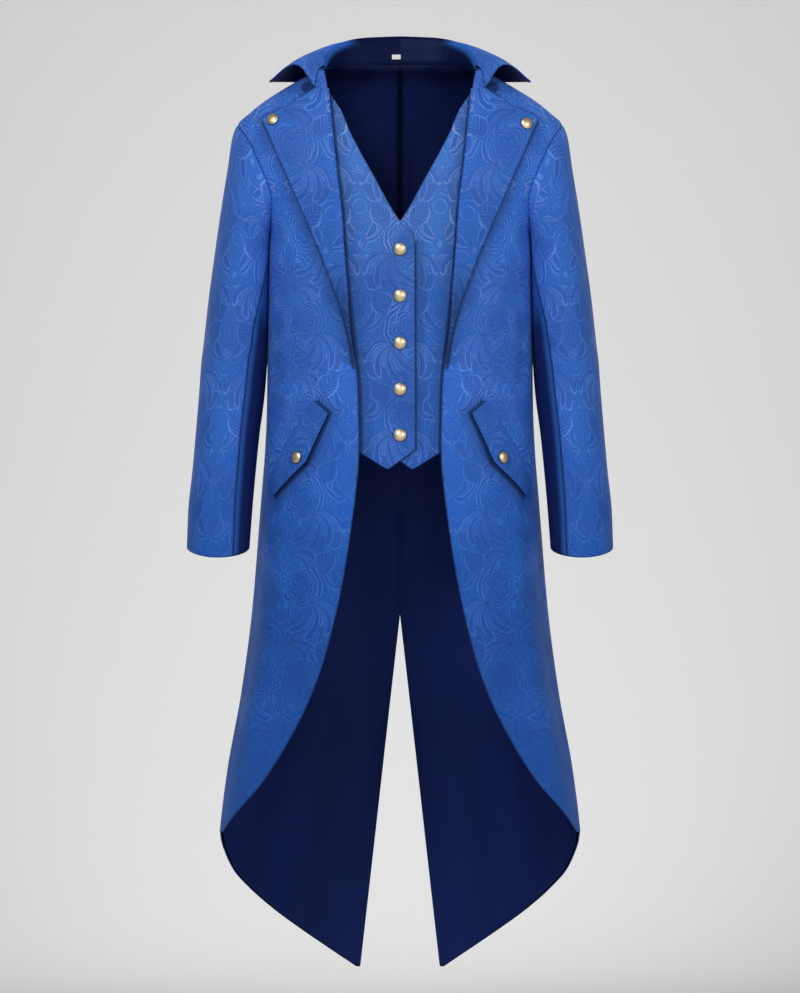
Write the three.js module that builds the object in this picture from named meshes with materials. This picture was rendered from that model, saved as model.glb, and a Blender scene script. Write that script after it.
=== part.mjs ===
// A costume tailcoat with a mock waistcoat front, filled out as if worn, with nobody inside it.
// Millimetres, +Z up, the front faces -Y and +X is the wearer's left. The origin is where the shoulders
// carry it: on the middle plane, level with the foot of the collar's front ends.
// Every cloth piece is a thin wall that follows one body surface, a sleeve surface or the collar surface.
import * as THREE from "three";

// Cloth thicknesses and the air left between neighbouring pieces
const jacquard = 1.6;
const waistcoatCloth = 1.4;
const satin = 1.0;
const lapelCloth = 2.0;
const seamGap = 0.4;

// Levels of the main cuts, down from the origin
const hemTip = -1256;
const sideHem = -1063;
const ventTop = -753;
const armpit = -215;
const shoulderPoint = -58;
const neckPoint = 20;
const backNeck = 33;
const ventHalfGapAtTip = 57;

// Horizontal sections of the body surface: half width, and depth before and behind the shoulder line
const bodySections = [
  { z: 34, half: 108, front: 12, back: 74 },
  { z: 23, half: 111, front: 15, back: 73 },
  { z: 20, half: 116, front: 19, back: 75 },
  { z: 8, half: 138, front: 31, back: 80 },
  { z: -7, half: 164, front: 44, back: 86 },
  { z: -24, half: 191, front: 58, back: 92 },
  { z: -41, half: 212, front: 68, back: 97 },
  { z: -58, half: 229, front: 76, back: 101 },
  { z: -90, half: 231, front: 92, back: 107 },
  { z: -119, half: 226, front: 103, back: 111 },
  { z: -138, half: 220, front: 109, back: 113 },
  { z: -159, half: 208, front: 113, back: 115 },
  { z: -190, half: 193, front: 117, back: 116 },
  { z: -215, half: 186.5, front: 119, back: 116 },
  { z: -296, half: 186, front: 119, back: 110 },
  { z: -376, half: 186.5, front: 117, back: 101 },
  { z: -461, half: 187.5, front: 121, back: 108 },
  { z: -518, half: 190, front: 127, back: 118 },
  { z: -575, half: 194.5, front: 131, back: 126 },
  { z: -632, half: 199, front: 134, back: 132 },
  { z: -745, half: 208.5, front: 140, back: 140 },
  { z: -859, half: 223.5, front: 148, back: 149 },
  { z: -973, half: 244, front: 156, back: 158 },
  { z: -1058, half: 254.5, front: 162, back: 164 },
  { z: -1143, half: 261, front: 166, back: 169 },
  { z: -1257, half: 268, front: 170, back: 175 },
];

// How far each armhole is cut forward and backward of the side line, in degrees round the body
const armholeCuts = [
  { z: -215, front: 0, back: 0 },
  { z: -205, front: 11, back: 9 },
  { z: -190, front: 18.5, back: 15 },
  { z: -175, front: 24.5, back: 19.5 },
  { z: -159, front: 29, back: 23 },
  { z: -138, front: 31.3, back: 25 },
  { z: -101, front: 27.8, back: 22 },
  { z: -76, front: 20.8, back: 16 },
  { z: -62, front: 10, back: 8 },
  { z: -58, front: 0, back: 0 },
];

// The coat's front edge from the front: the lapel's roll line, then the cutaway to the side seam
const frontEdge = [
  { z: 20, x: 107 },
  { z: -13, x: 101.5 },
  { z: -41, x: 98.7 },
  { z: -106, x: 91.6 },
  { z: -181, x: 83 },
  { z: -257, x: 77.5 },
  { z: -342, x: 69.4 },
  { z: -433, x: 59.5 },
  { z: -522, x: 57.8 },
  { z: -575, x: 61.8 },
  { z: -618, x: 67.3 },
  { z: -672, x: 75 },
  { z: -730, x: 85.5 },
  { z: -781, x: 97.5 },
  { z: -816, x: 107 },
  { z: -873, x: 128 },
  { z: -930, x: 157 },
  { z: -987, x: 193 },
  { z: -1030, x: 228 },
  { z: -1063, x: 253 },
];

// The lapel's free edge seen from the front: its top edge out to the corner, then down to the roll line
const lapelEdge = [
  { z: -8.5, x: 119 },
  { z: -17, x: 135 },
  { z: -31, x: 157 },
  { z: -41, x: 176 },
  { z: -48, x: 191 },
  { z: -52, x: 193 },
  { z: -68, x: 186 },
  { z: -98, x: 173 },
  { z: -155, x: 147 },
  { z: -216, x: 120 },
  { z: -257, x: 104 },
  { z: -317, x: 82.8 },
  { z: -368, x: 70 },
  { z: -400, x: 65.5 },
];

// The waistcoat front's neck edge, closing edge and hem, measured from the middle to its own side
const waistcoatEdges = [
  { z: -11.4, inner: 100, outer: 127 },
  { z: -38, inner: 83, outer: 124 },
  { z: -68, inner: 70.3, outer: 121 },
  { z: -130, inner: 37, outer: 114 },
  { z: -193, inner: 0.8, outer: 107 },
  { z: -217, inner: -21.5, outer: 105 },
  { z: -300, inner: -21.5, outer: 98 },
  { z: -505, inner: -22, outer: 83 },
  { z: -511, inner: -22, outer: 74.5 },
  { z: -517, inner: -22, outer: 65 },
  { z: -523, inner: -14.4, outer: 55.3 },
  { z: -535, inner: 2, outer: 36 },
  { z: -545.5, inner: 16.5, outer: 19 },
];

// The swallowtail's hem, seen from behind, from the side seam to the tip
const tailHem = [
  { z: -1063, x: 254 },
  { z: -1074, x: 252.5 },
  { z: -1086, x: 249 },
  { z: -1115, x: 236 },
  { z: -1143, x: 212 },
  { z: -1171, x: 180 },
  { z: -1200, x: 141 },
  { z: -1228, x: 101 },
  { z: -1257, x: 58 },
];

// Sleeve sections: reach of its inner and outer side, half depth, how far back its middle lies,
// and the angle of its front seam, round from the outer side
const sleeveSections = [
  { z: -235, inner: 179, outer: 261, depth: 61, middle: 12, seam: 146 },
  { z: -300, inner: 181, outer: 269.5, depth: 59, middle: 12, seam: 126 },
  { z: -348, inner: 183, outer: 274.5, depth: 56, middle: 11, seam: 115 },
  { z: -376, inner: 184.5, outer: 277.5, depth: 54, middle: 10, seam: 113 },
  { z: -390, inner: 187, outer: 279.5, depth: 53.2, middle: 8.8, seam: 112.7 },
  { z: -433, inner: 191.5, outer: 283, depth: 51, middle: 6, seam: 112 },
  { z: -470, inner: 197, outer: 286.3, depth: 49.6, middle: 2.4, seam: 112.6 },
  { z: -490, inner: 200, outer: 288, depth: 49, middle: 0, seam: 113 },
  { z: -547, inner: 206, outer: 293, depth: 47.5, middle: -8, seam: 114.5 },
  { z: -603, inner: 211, outer: 299, depth: 46, middle: -18, seam: 116 },
  { z: -656, inner: 215, outer: 301, depth: 45, middle: -28, seam: 118 },
];
const sleeveTop = -235;
const cuff = -656;
const cuffSlant = 15;
const hindSeam = 248;
const sleeveHeadReach = 45;

// The collar from the centre back, u 0, to its front end, u 1: neck seam, fold and free edge
const collarSections = [
  { u: 0, rootX: 0, rootY: 75, rootZ: 35.5, foldX: 0, foldY: 83, foldZ: 67.5,
    edgeX: 0, edgeY: 92, edgeZ: 2, roll: 12 },
  { u: 0.22, rootX: 46, rootY: 68, rootZ: 35.3, foldX: 51, foldY: 75, foldZ: 65.5,
    edgeX: 66, edgeY: 84, edgeZ: 2, roll: 13 },
  { u: 0.45, rootX: 84, rootY: 49, rootZ: 32, foldX: 93, foldY: 54, foldZ: 58,
    edgeX: 122, edgeY: 62, edgeZ: 3, roll: 18 },
  { u: 0.65, rootX: 108, rootY: 20, rootZ: 28, foldX: 120, foldY: 22, foldZ: 47.5,
    edgeX: 158, edgeY: 32, edgeZ: 5, roll: 26 },
  { u: 0.83, rootX: 118, rootY: -8, rootZ: 19, foldX: 136, foldY: -8, foldZ: 39,
    edgeX: 180, edgeY: -6, edgeZ: 5, roll: 34 },
  { u: 1, rootX: 122, rootY: -32, rootZ: -3, foldX: 150, foldY: -34, foldZ: 28,
    edgeX: 186, edgeY: -40, edgeZ: 3.5, roll: 40 },
];
const standLiningReach = 0.68;

// Pocket flap: a long steep flap with a shallow point, laid out flat on the coat front
const flapTop = { x: 120.7, z: -449 };
const flapSlope = THREE.MathUtils.degToRad(51.4);
const flapLength = 148;
const flapEndDepth = 29;
const flapPointDepth = 46;
const flapLift = 4;
const flapButton = { along: 79, down: 30 };

// Buttons: one size throughout
const buttonRadius = 9;
const buttonHeight = 4.8;
const waistcoatButtonLevels = [-234, -300, -367, -432.5, -497.5];
const lapelButton = { share: 0.9, left: -57, right: -52 };

// Plain woven label, sewn to the stand inside the back neck
const labelSize = { width: 13, height: 7.4, thick: 0.5, x: -5, low: 0.03 };

// Finishes
const finish = {
  jacquard: new THREE.MeshStandardMaterial({ color: 0x3464b8, roughness: 0.55, metalness: 0 }),
  undersleeve: new THREE.MeshStandardMaterial({ color: 0x18264f, roughness: 0.6, metalness: 0 }),
  satin: new THREE.MeshStandardMaterial({ color: 0x101a45, roughness: 0.4, metalness: 0 }),
  brass: new THREE.MeshStandardMaterial({ color: 0xd8c08a, roughness: 0.3, metalness: 1 }),
  label: new THREE.MeshStandardMaterial({ color: 0xf1f0f2, roughness: 0.7, metalness: 0 }),
};

const quarter = Math.PI / 2;
const clamp = THREE.MathUtils.clamp;
const mix = THREE.MathUtils.lerp;
const degrees = THREE.MathUtils.degToRad;

// Reads a column of a table between its rows by a cubic that never overshoots them.
function read(table, key, column, at) {
  const rising = table[0][key] < table[table.length - 1][key];
  const rows = rising ? table : [...table].reverse();
  const place = clamp(at, rows[0][key], rows[rows.length - 1][key]);
  let i = 0;
  while (i < rows.length - 2 && rows[i + 1][key] < place) i++;
  const slope = (a) => (rows[a + 1][column] - rows[a][column]) / (rows[a + 1][key] - rows[a][key]);
  const tangent = (a) => {
    if (a === 0) return slope(0);
    if (a === rows.length - 1) return slope(a - 1);
    const before = slope(a - 1);
    const after = slope(a);
    return before * after <= 0 ? 0 : (2 * before * after) / (before + after);
  };
  const step = rows[i + 1][key] - rows[i][key];
  const low = tangent(i) * step;
  const high = tangent(i + 1) * step;
  return hermite(rows[i][column], low, rows[i + 1][column], high, (place - rows[i][key]) / step);
}

function hermite(a, slopeA, b, slopeB, t) {
  const t2 = t * t;
  const t3 = t2 * t;
  return (2 * t3 - 3 * t2 + 1) * a + (t3 - 2 * t2 + t) * slopeA + (3 * t2 - 2 * t3) * b + (t3 - t2) * slopeB;
}

function hermitePoint(a, slopeA, b, slopeB, t) {
  return new THREE.Vector3(
    hermite(a.x, slopeA.x, b.x, slopeB.x, t),
    hermite(a.y, slopeA.y, b.y, slopeB.y, t),
    hermite(a.z, slopeA.z, b.z, slopeB.z, t),
  );
}

// Soft vertical folds that grow down the hanging skirts and fade out at the side seam.
function skirtFold(angle, z) {
  const hang = THREE.MathUtils.smoothstep(-z, 560, 1150);
  const fade = Math.sin(clamp((Math.abs(angle) - quarter) / quarter, 0, 1) * Math.PI);
  return 5 * hang * fade * Math.cos(7 * (Math.abs(angle) - quarter));
}

// A point of the body surface. Angle 0 is the centre front, a quarter turn the side, a half turn the back.
function bodyPoint(angle, z) {
  const half = read(bodySections, "z", "half", z);
  const depth = read(bodySections, "z", Math.cos(angle) > 0 ? "front" : "back", z) + skirtFold(angle, z);
  return new THREE.Vector3(half * Math.sin(angle), -depth * Math.cos(angle), z);
}

// The outward direction of any surface that is given as a function of two numbers.
function normalOf(surface, a, b, stepA, stepB) {
  const acrossA = surface(a + stepA, b).sub(surface(a - stepA, b));
  const acrossB = surface(a, b + stepB).sub(surface(a, b - stepB));
  return acrossA.cross(acrossB).normalize();
}

function bodyNormal(angle, z) {
  return normalOf(bodyPoint, angle, clamp(z, -1256, 33), 0.002, 0.4);
}

function bodyOffset(angle, z, out) {
  return bodyPoint(angle, z).addScaledVector(bodyNormal(angle, z), out);
}

const angleInFront = (x, z) => Math.asin(clamp(x / read(bodySections, "z", "half", z), -1, 1));
const angleBehind = (x, z) => Math.PI - angleInFront(x, z);

// Distance on the body surface for each radian round it, to turn a gap in millimetres into an angle.
function roundStep(angle, z) {
  return bodyPoint(angle + 0.002, z).distanceTo(bodyPoint(angle - 0.002, z)) / 0.004;
}

// Goes a distance round the body from an angle, in short steps.
function goRound(angle, z, distance) {
  const steps = 12;
  let at = angle;
  for (let i = 0; i < steps; i++) at += distance / steps / roundStep(at, z);
  return at;
}

// Levels of a piece's rows, from a list of stretches, each with its own number of rows.
function levels(start, stretches) {
  const out = [start];
  for (const { to, rows } of stretches) {
    const from = out[out.length - 1];
    for (let i = 1; i <= rows; i++) out.push(mix(from, to, i / rows));
  }
  return out;
}

const evenly = (count) => Array.from({ length: count + 1 }, (_, i) => i / count);

// A closed wall between two grids of points, rows by columns, with its faces turned outwards.
function wallBetween(lower, upper) {
  const rows = lower.length;
  const columns = lower[0].length;
  const points = [...lower.flat(), ...upper.flat()];
  const at = (layer, i, j) => layer * rows * columns + i * columns + j;
  const index = [];
  const quad = (a, b, c, d) => index.push(a, b, c, a, c, d);
  for (let i = 0; i < rows - 1; i++)
    for (let j = 0; j < columns - 1; j++) {
      quad(at(1, i, j), at(1, i, j + 1), at(1, i + 1, j + 1), at(1, i + 1, j));
      quad(at(0, i, j), at(0, i + 1, j), at(0, i + 1, j + 1), at(0, i, j + 1));
    }
  for (let j = 0; j < columns - 1; j++) {
    quad(at(0, 0, j), at(0, 0, j + 1), at(1, 0, j + 1), at(1, 0, j));
    quad(at(0, rows - 1, j + 1), at(0, rows - 1, j), at(1, rows - 1, j), at(1, rows - 1, j + 1));
  }
  for (let i = 0; i < rows - 1; i++) {
    quad(at(0, i + 1, 0), at(0, i, 0), at(1, i, 0), at(1, i + 1, 0));
    quad(at(0, i, columns - 1), at(0, i + 1, columns - 1), at(1, i + 1, columns - 1), at(1, i, columns - 1));
  }
  let volume = 0;
  for (let k = 0; k < index.length; k += 3) {
    const [a, b, c] = [points[index[k]], points[index[k + 1]], points[index[k + 2]]];
    volume += a.dot(b.clone().cross(c));
  }
  if (volume < 0) {
    for (let k = 0; k < index.length; k += 3) {
      [index[k + 1], index[k + 2]] = [index[k + 2], index[k + 1]];
    }
  }
  const geometry = new THREE.BufferGeometry().setFromPoints(points);
  geometry.setIndex(index);
  geometry.computeVertexNormals();
  return geometry;
}

const coat = new THREE.Group();

function add(name, geometry, material) {
  const mesh = new THREE.Mesh(geometry, material);
  mesh.name = name;
  coat.add(mesh);
  return mesh;
}

// A wall that follows the body. Its edges are angles at each level, and lift gives its inner face's height.
function bodyWall(name, material, { zs, columns, from, to, thick, lift, side }) {
  const grid = (extra) =>
    zs.map((z) =>
      columns.map((s) => {
        const angle = mix(from(z), to(z), s);
        return bodyOffset(angle, z, lift(angle, z) + extra).multiply(new THREE.Vector3(side, 1, 1));
      }),
    );
  return add(name, wallBetween(grid(0), grid(thick)), material);
}

// A wall that grows from any surface of two numbers along its own normal.
function surfaceWall(name, material, { surface, as, bs, from, to, side, stepA, stepB }) {
  const grid = (height) =>
    bs.map((b) =>
      as.map((a) => {
        const normal = normalOf(surface, a, b, stepA, stepB);
        const point = surface(a, b).addScaledVector(normal, height(a, b));
        return point.multiply(new THREE.Vector3(side, 1, 1));
      }),
    );
  return add(name, wallBetween(grid(from), grid(to)), material);
}

// Where a body panel ends beside its side line: at the side seam, the armhole or the shoulder seam.
function sideCut(z, column) {
  if (z <= armpit || z >= shoulderPoint) return 0;
  return degrees(read(armholeCuts, "z", column, z));
}
const seamAngle = (z) => seamGap / 2 / roundStep(quarter, z);
const frontSide = (z) => quarter - sideCut(z, "front") - seamAngle(z);
const backSide = (z) => quarter + sideCut(z, "back") + seamAngle(z);

const rollSetBack = 3;
const lapelStart = -8.5;
const lapelEnd = -396;

// The coat front's edge lies a little behind the roll, where the lapel turns over it.
function coatEdge(z) {
  const behindRoll = z > lapelEnd && z < lapelStart ? rollSetBack : 0;
  return angleInFront(read(frontEdge, "z", "x", z) + behindRoll, z);
}

function coatFront(name, side) {
  bodyWall(name, finish.jacquard, {
    zs: levels(-1058, [
      { to: -1030, rows: 2 },
      { to: -900, rows: 4 },
      { to: -575, rows: 6 },
      { to: armpit, rows: 6 },
      { to: -190, rows: 2 },
      { to: -76, rows: 4 },
      { to: shoulderPoint, rows: 2 },
      { to: neckPoint - 1, rows: 5 },
    ]),
    columns: evenly(9),
    from: coatEdge,
    to: frontSide,
    thick: jacquard,
    lift: () => 0,
    side,
  });
}

// The vent opens evenly below its top, and above it the two backs meet in the centre seam.
function ventAngle(z) {
  const open = ventHalfGapAtTip * clamp((ventTop - z) / (ventTop - hemTip), 0, 1);
  return angleBehind(seamGap / 2 + open, z);
}

// A back panel's outer edge: the side, the hem below it, or the neck seam above the shoulder.
function backEdge(z) {
  if (z < sideHem) return angleBehind(read(tailHem, "z", "x", z), z);
  if (z > neckPoint + 3) return angleBehind(110 * (1 - (z - 23) / 11) ** 0.4, z);
  return backSide(z);
}

const backLevels = (low, high, topRows) =>
  levels(low, [
    { to: -1200, rows: 2 },
    { to: -1086, rows: 5 },
    { to: sideHem, rows: 3 },
    { to: ventTop, rows: 6 },
    { to: armpit, rows: 6 },
    { to: -190, rows: 2 },
    { to: -76, rows: 4 },
    { to: shoulderPoint, rows: 2 },
    { to: neckPoint, rows: 4 },
    { to: high, rows: topRows },
  ]);

function coatBack(name, side) {
  bodyWall(name, finish.jacquard, {
    zs: backLevels(hemTip + 3, backNeck, 2),
    columns: evenly(7),
    from: backEdge,
    to: ventAngle,
    thick: jacquard,
    lift: () => 0,
    side,
  });
}

// The back lining stops a little short of the shell's edges all round.
function backLining(name, side) {
  const setBack = 1.5;
  bodyWall(name, finish.satin, {
    zs: backLevels(hemTip + 12, neckPoint + 1.5, 1),
    columns: evenly(7),
    from: (z) => backEdge(z) + (z < sideHem ? 2 * setBack : 0) / roundStep(quarter, z),
    to: (z) => ventAngle(z) - (z < ventTop ? setBack : 0) / roundStep(Math.PI, z),
    thick: satin,
    lift: () => -satin - 2 * seamGap,
    side,
  });
}

// The two waistcoat fronts lie under the coat fronts and cross at the middle, the wearer's right on top.
function waistcoatLift(across, under) {
  const sunk = under ? THREE.MathUtils.smoothstep(-across, -62, -24) : 0;
  return -waistcoatCloth - 0.7 - sunk * (waistcoatCloth + 2 * seamGap);
}

function waistcoatFront(name, side, under) {
  const edge = (column) => (z) => angleInFront(read(waistcoatEdges, "z", column, z), z);
  bodyWall(name, finish.jacquard, {
    zs: levels(-545.5, [
      { to: -535, rows: 1 },
      { to: -523, rows: 1 },
      { to: -517, rows: 1 },
      { to: -505, rows: 2 },
      { to: -217, rows: 8 },
      { to: -193, rows: 1 },
      { to: -68, rows: 4 },
      { to: -11.4, rows: 3 },
    ]),
    columns: evenly(6),
    from: edge("inner"),
    to: edge("outer"),
    thick: waistcoatCloth,
    lift: (angle, z) => waistcoatLift(bodyPoint(angle, z).x, under),
    side,
  });
}

// The lapel's cross section: it turns over the coat's edge in a soft roll, then lies on the front.
const lapelProfile = [
  { s: 0, across: 2.4, out: 1.7 },
  { s: 0.1, across: 0.4, out: 3.6 },
  { s: 0.2, across: 2.2, out: 6.4 },
  { s: 0.32, across: 11, out: 6.2 },
  { s: 0.55, across: 30, out: 4.4 },
  { s: 1, across: 60, out: 3.2 },
];
const lapelRollWidth = 30;

function lapelPoint(s, z) {
  const roll = read(frontEdge, "z", "x", z);
  const edge = read(lapelEdge, "z", "x", z);
  const width = Math.max(edge - roll, 3);
  const small = Math.min(1, width / lapelRollWidth / 1.6);
  const rolled = read(lapelProfile, "s", "across", s) * small;
  const across = s < 0.55 ? rolled : mix(lapelRollWidth * small, width, (s - 0.55) / 0.45);
  const out = mix(3.2, read(lapelProfile, "s", "out", s), Math.max(small, 0.35));
  return bodyOffset(angleInFront(roll + across, z), z, out);
}

function lapel(name, side) {
  surfaceWall(name, finish.jacquard, {
    surface: lapelPoint,
    as: [0, 0.1, 0.2, 0.32, 0.55, 0.78, 1],
    bs: levels(lapelEnd, [
      { to: -334, rows: 1 },
      { to: -68, rows: 8 },
      { to: -48, rows: 2 },
      { to: lapelStart, rows: 4 },
    ]),
    from: () => 0,
    to: () => lapelCloth,
    side,
    stepA: 0.004,
    stepB: 0.5,
  });
}

// Pocket flap: laid out in its own flat measure, along the sewn edge and down from it.
function flapPoint(along, down) {
  const z = flapTop.z - along * Math.sin(flapSlope) - down * Math.cos(flapSlope);
  const distance = along * Math.cos(flapSlope) - down * Math.sin(flapSlope);
  const angle = goRound(angleInFront(flapTop.x, z), z, distance);
  const reach = flapLift * Math.max(down / flapPointDepth, 0) ** 1.5;
  return bodyOffset(angle, z, jacquard + 2 * seamGap + reach);
}

const flapDepth = (share) => mix(flapEndDepth, flapPointDepth, 1 - Math.abs(2 * share - 1));

function pocketFlap(name, side) {
  surfaceWall(name, finish.jacquard, {
    surface: (share, depth) => flapPoint(share * flapLength, clamp(depth, 0, 1) * flapDepth(share)),
    as: evenly(8),
    bs: evenly(3),
    from: () => 0,
    to: () => -1.8,
    side,
    stepA: 0.002,
    stepB: 0.02,
  });
}

// A sleeve ring: an ellipse that gives way where the body would press on it.
function sleeveRing(turn, z) {
  const inner = read(sleeveSections, "z", "inner", z);
  const outer = read(sleeveSections, "z", "outer", z);
  const middle = read(sleeveSections, "z", "middle", z);
  const slant = cuffSlant * THREE.MathUtils.smoothstep(-z, -cuff - 150, -cuff);
  const y = middle - read(sleeveSections, "z", "depth", z) * Math.sin(turn);
  const free = (inner + outer) / 2 + ((outer - inner) / 2) * Math.cos(turn);
  const depth = read(bodySections, "z", y < 0 ? "front" : "back", z);
  const pressed = read(bodySections, "z", "half", z) * Math.sqrt(Math.max(0, 1 - (y / depth) ** 2)) + 4.5;
  const soft = 3;
  const x = soft * Math.log(Math.exp((free - 200) / soft) + Math.exp((pressed - 200) / soft)) + 200;
  return new THREE.Vector3(x, y, z - slant * Math.sin(turn));
}

// The armhole seam at a turn round it: its point, the way off the panels, and the panels' normal.
function armholeAt(turn) {
  const at = (t) => {
    const z = mix(armpit, shoulderPoint, (1 + Math.cos(t)) / 2);
    const inFront = Math.sin(t) > 0;
    const cut = degrees(read(armholeCuts, "z", inFront ? "front" : "back", z));
    return { angle: quarter + (inFront ? -cut : cut), z };
  };
  const here = at(turn);
  const before = at(turn - 0.03);
  const after = at(turn + 0.03);
  const along = bodyPoint(after.angle, after.z).sub(bodyPoint(before.angle, before.z)).normalize();
  const normal = bodyNormal(here.angle, here.z);
  return { point: bodyPoint(here.angle, here.z), away: normal.clone().cross(along).normalize(), normal };
}

// The sleeve surface. Step 0 is the armhole seam, 1 the ring at its top, and beyond 1 it goes to the cuff.
function sleevePoint(turn, step) {
  if (step > 1) return sleeveRing(turn, mix(sleeveTop, cuff, step - 1));
  const { point, away, normal } = armholeAt(turn);
  const low = THREE.MathUtils.smoothstep(-Math.cos(turn), -0.25, 0.85);
  const swing = degrees(mix(20, 150, low));
  const start = point.addScaledVector(normal, mix(0.3, 4.2, low)).addScaledVector(away, seamGap + 1.3);
  const leave = away.multiplyScalar(Math.cos(swing)).addScaledVector(normal, Math.sin(swing));
  const end = sleeveRing(turn, sleeveTop);
  const chord = start.distanceTo(end);
  const arrive = sleeveRing(turn, sleeveTop - 2).sub(end).multiplyScalar((0.83 * chord) / 2);
  leave.multiplyScalar(Math.min(sleeveHeadReach, 0.45 * chord));
  return hermitePoint(start, leave, end, arrive, Math.max(step, 0));
}

function sleevePiece(name, side, { material, from, to, columns, thick }) {
  const steps = levels(0, [
    { to: 1, rows: 6 },
    { to: 2, rows: 10 },
  ]);
  const seam = (step) => read(sleeveSections, "z", "seam", mix(sleeveTop, cuff, clamp(step - 1, 0, 1)));
  const grid = (height) =>
    steps.map((step) =>
      evenly(columns).map((share) => {
        const turn = degrees(mix(from(seam(step)), to(seam(step)), share));
        const sample = clamp(step, 0.01, 1.99);
        const low = sleevePoint(turn, sample + 0.01).sub(sleevePoint(turn, sample - 0.01));
        const round = sleevePoint(turn + 0.02, step).sub(sleevePoint(turn - 0.02, step));
        const normal = round.cross(low).normalize();
        const point = sleevePoint(turn, step).addScaledVector(normal, height);
        return point.multiply(new THREE.Vector3(side, 1, 1));
      }),
    );
  add(name, wallBetween(grid(0), grid(thick)), material);
}

function sleeve(label, side) {
  const gap = 0.35;
  sleevePiece("topsleeve_" + label, side, {
    material: finish.jacquard,
    from: () => hindSeam - 360 + gap,
    to: (seam) => seam - gap,
    columns: 11,
    thick: jacquard,
  });
  sleevePiece("undersleeve_" + label, side, {
    material: finish.undersleeve,
    from: (seam) => seam + gap,
    to: () => hindSeam - gap,
    columns: 6,
    thick: jacquard,
  });
}

// The collar surface: v 0 is the neck seam, v 1 half way the fold, v 2 the free edge.
function collarPoint(u, v) {
  const mirror = u < 0 ? -1 : 1;
  const end = Math.min(Math.abs(u), 1);
  const spot = (name) =>
    new THREE.Vector3(
      read(collarSections, "u", name + "X", end),
      read(collarSections, "u", name + "Y", end),
      read(collarSections, "u", name + "Z", end),
    );
  const root = spot("root");
  const fold = spot("fold");
  const edge = spot("edge");
  const roll = read(collarSections, "u", "roll", end);
  const outward = edge.clone().sub(root).setZ(0).normalize().multiplyScalar(roll);
  const stand = fold.clone().sub(root);
  const fall = edge.clone().sub(fold);
  const rising = v < 1;
  const point = rising
    ? hermitePoint(root, stand, fold, outward, v)
    : hermitePoint(fold, outward, edge, fall, v - 1);
  return point.multiply(new THREE.Vector3(mirror, 1, 1));
}

function collarWall(name, material, { us, vs, from, to }) {
  const steps = { stepA: 0.004, stepB: 0.01 };
  surfaceWall(name, material, { surface: collarPoint, as: us, bs: vs, from, to, side: 1, ...steps });
}

const between = (low, high, count) => evenly(count).map((s) => mix(low, high, s));

function collar() {
  const gap = seamGap / 2;
  const foldRows = [0, 0.45, 0.8, 1, 1.2, 1.6, 2];
  collarWall("collar_upper", finish.jacquard, {
    us: between(-0.998, 0.998, 24),
    vs: foldRows,
    from: () => gap,
    to: () => gap + 1.2,
  });
  collarWall("collar_under", finish.satin, {
    us: between(-0.99, 0.99, 24),
    vs: foldRows.map((v) => mix(0.01, 1.98, v / 2)),
    from: () => -gap - 0.2,
    to: () => -gap - 1.2,
  });
}

// The stand's lining is a crescent inside the back neck, deepest at the centre.
function standLining() {
  const base = seamGap / 2 + 1.2 + 3 * seamGap;
  const top = (u) => 0.93 * (1 - Math.abs(u / standLiningReach) ** 5);
  const surface = (u, share) => collarPoint(u, 0.02 + share * Math.max(top(u), 0.03));
  surfaceWall("collar_stand_lining", finish.satin, {
    surface,
    as: between(-0.6653, 0.6653, 16),
    bs: evenly(3),
    from: () => base,
    to: () => base + satin,
    side: 1,
    stepA: 0.004,
    stepB: 0.01,
  });
  const halfWide = labelSize.width / 2 / 208;
  const middle = labelSize.x / 208;
  const high = labelSize.low + labelSize.height / 40;
  collarWall("label", finish.label, {
    us: between(middle - halfWide, middle + halfWide, 1),
    vs: [labelSize.low, high],
    from: () => base + satin + seamGap,
    to: () => base + satin + seamGap + labelSize.thick,
  });
}

// A domed button with a rolled rim, turned about its own axis.
function buttonGeometry() {
  const r = buttonRadius;
  const h = buttonHeight;
  const profile = [
    [0, 0],
    [0.8 * r, 0],
    [r, 0.22 * h],
    [0.97 * r, 0.42 * h],
    [0.75 * r, 0.76 * h],
    [0.42 * r, 0.95 * h],
    [0, h],
  ];
  return new THREE.LatheGeometry(
    profile.map(([x, y]) => new THREE.Vector2(x, y)),
    14,
  );
}

function button(name, point, normal, side) {
  const mirror = new THREE.Vector3(side, 1, 1);
  const mesh = add(name, buttonGeometry(), finish.brass);
  mesh.position.copy(point.multiply(mirror));
  mesh.quaternion.setFromUnitVectors(new THREE.Vector3(0, 1, 0), normal.multiply(mirror).normalize());
}

function bodyButton(name, x, z, height, side) {
  const angle = angleInFront(x, z);
  button(name, bodyOffset(angle, z, height), bodyNormal(angle, z), side);
}

function buttons() {
  const overWaistcoat = waistcoatLift(0, false) + waistcoatCloth + seamGap;
  waistcoatButtonLevels.forEach((z, i) => bodyButton("button_waistcoat_" + (i + 1), 0, z, overWaistcoat, 1));
  for (const [label, side] of sides) {
    const share = lapelButton.share;
    const z = lapelButton[label];
    const outward = normalOf(lapelPoint, share, z, 0.02, 2);
    const seat = lapelPoint(share, z).addScaledVector(outward, lapelCloth - seamGap);
    button("button_lapel_" + label, seat, outward, side);
    const { along, down } = flapButton;
    const surface = (a, b) => flapPoint(a, b);
    const normal = normalOf(surface, along, down, 0.5, 0.5).negate();
    const pocketSeat = flapPoint(along, down).addScaledVector(normal, 1.8 + seamGap);
    button("button_pocket_" + label, pocketSeat, normal, side);
  }
}

const sides = [
  ["left", 1],
  ["right", -1],
];
for (const [label, side] of sides) {
  coatFront("coat_front_" + label, side);
  coatBack("coat_back_" + label, side);
  backLining("back_lining_" + label, side);
  waistcoatFront("waistcoat_front_" + label, side, side === 1);
  lapel("lapel_" + label, side);
  pocketFlap("pocket_flap_" + label, side);
  sleeve(label, side);
}
collar();
standLining();
buttons();

export default coat;
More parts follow.
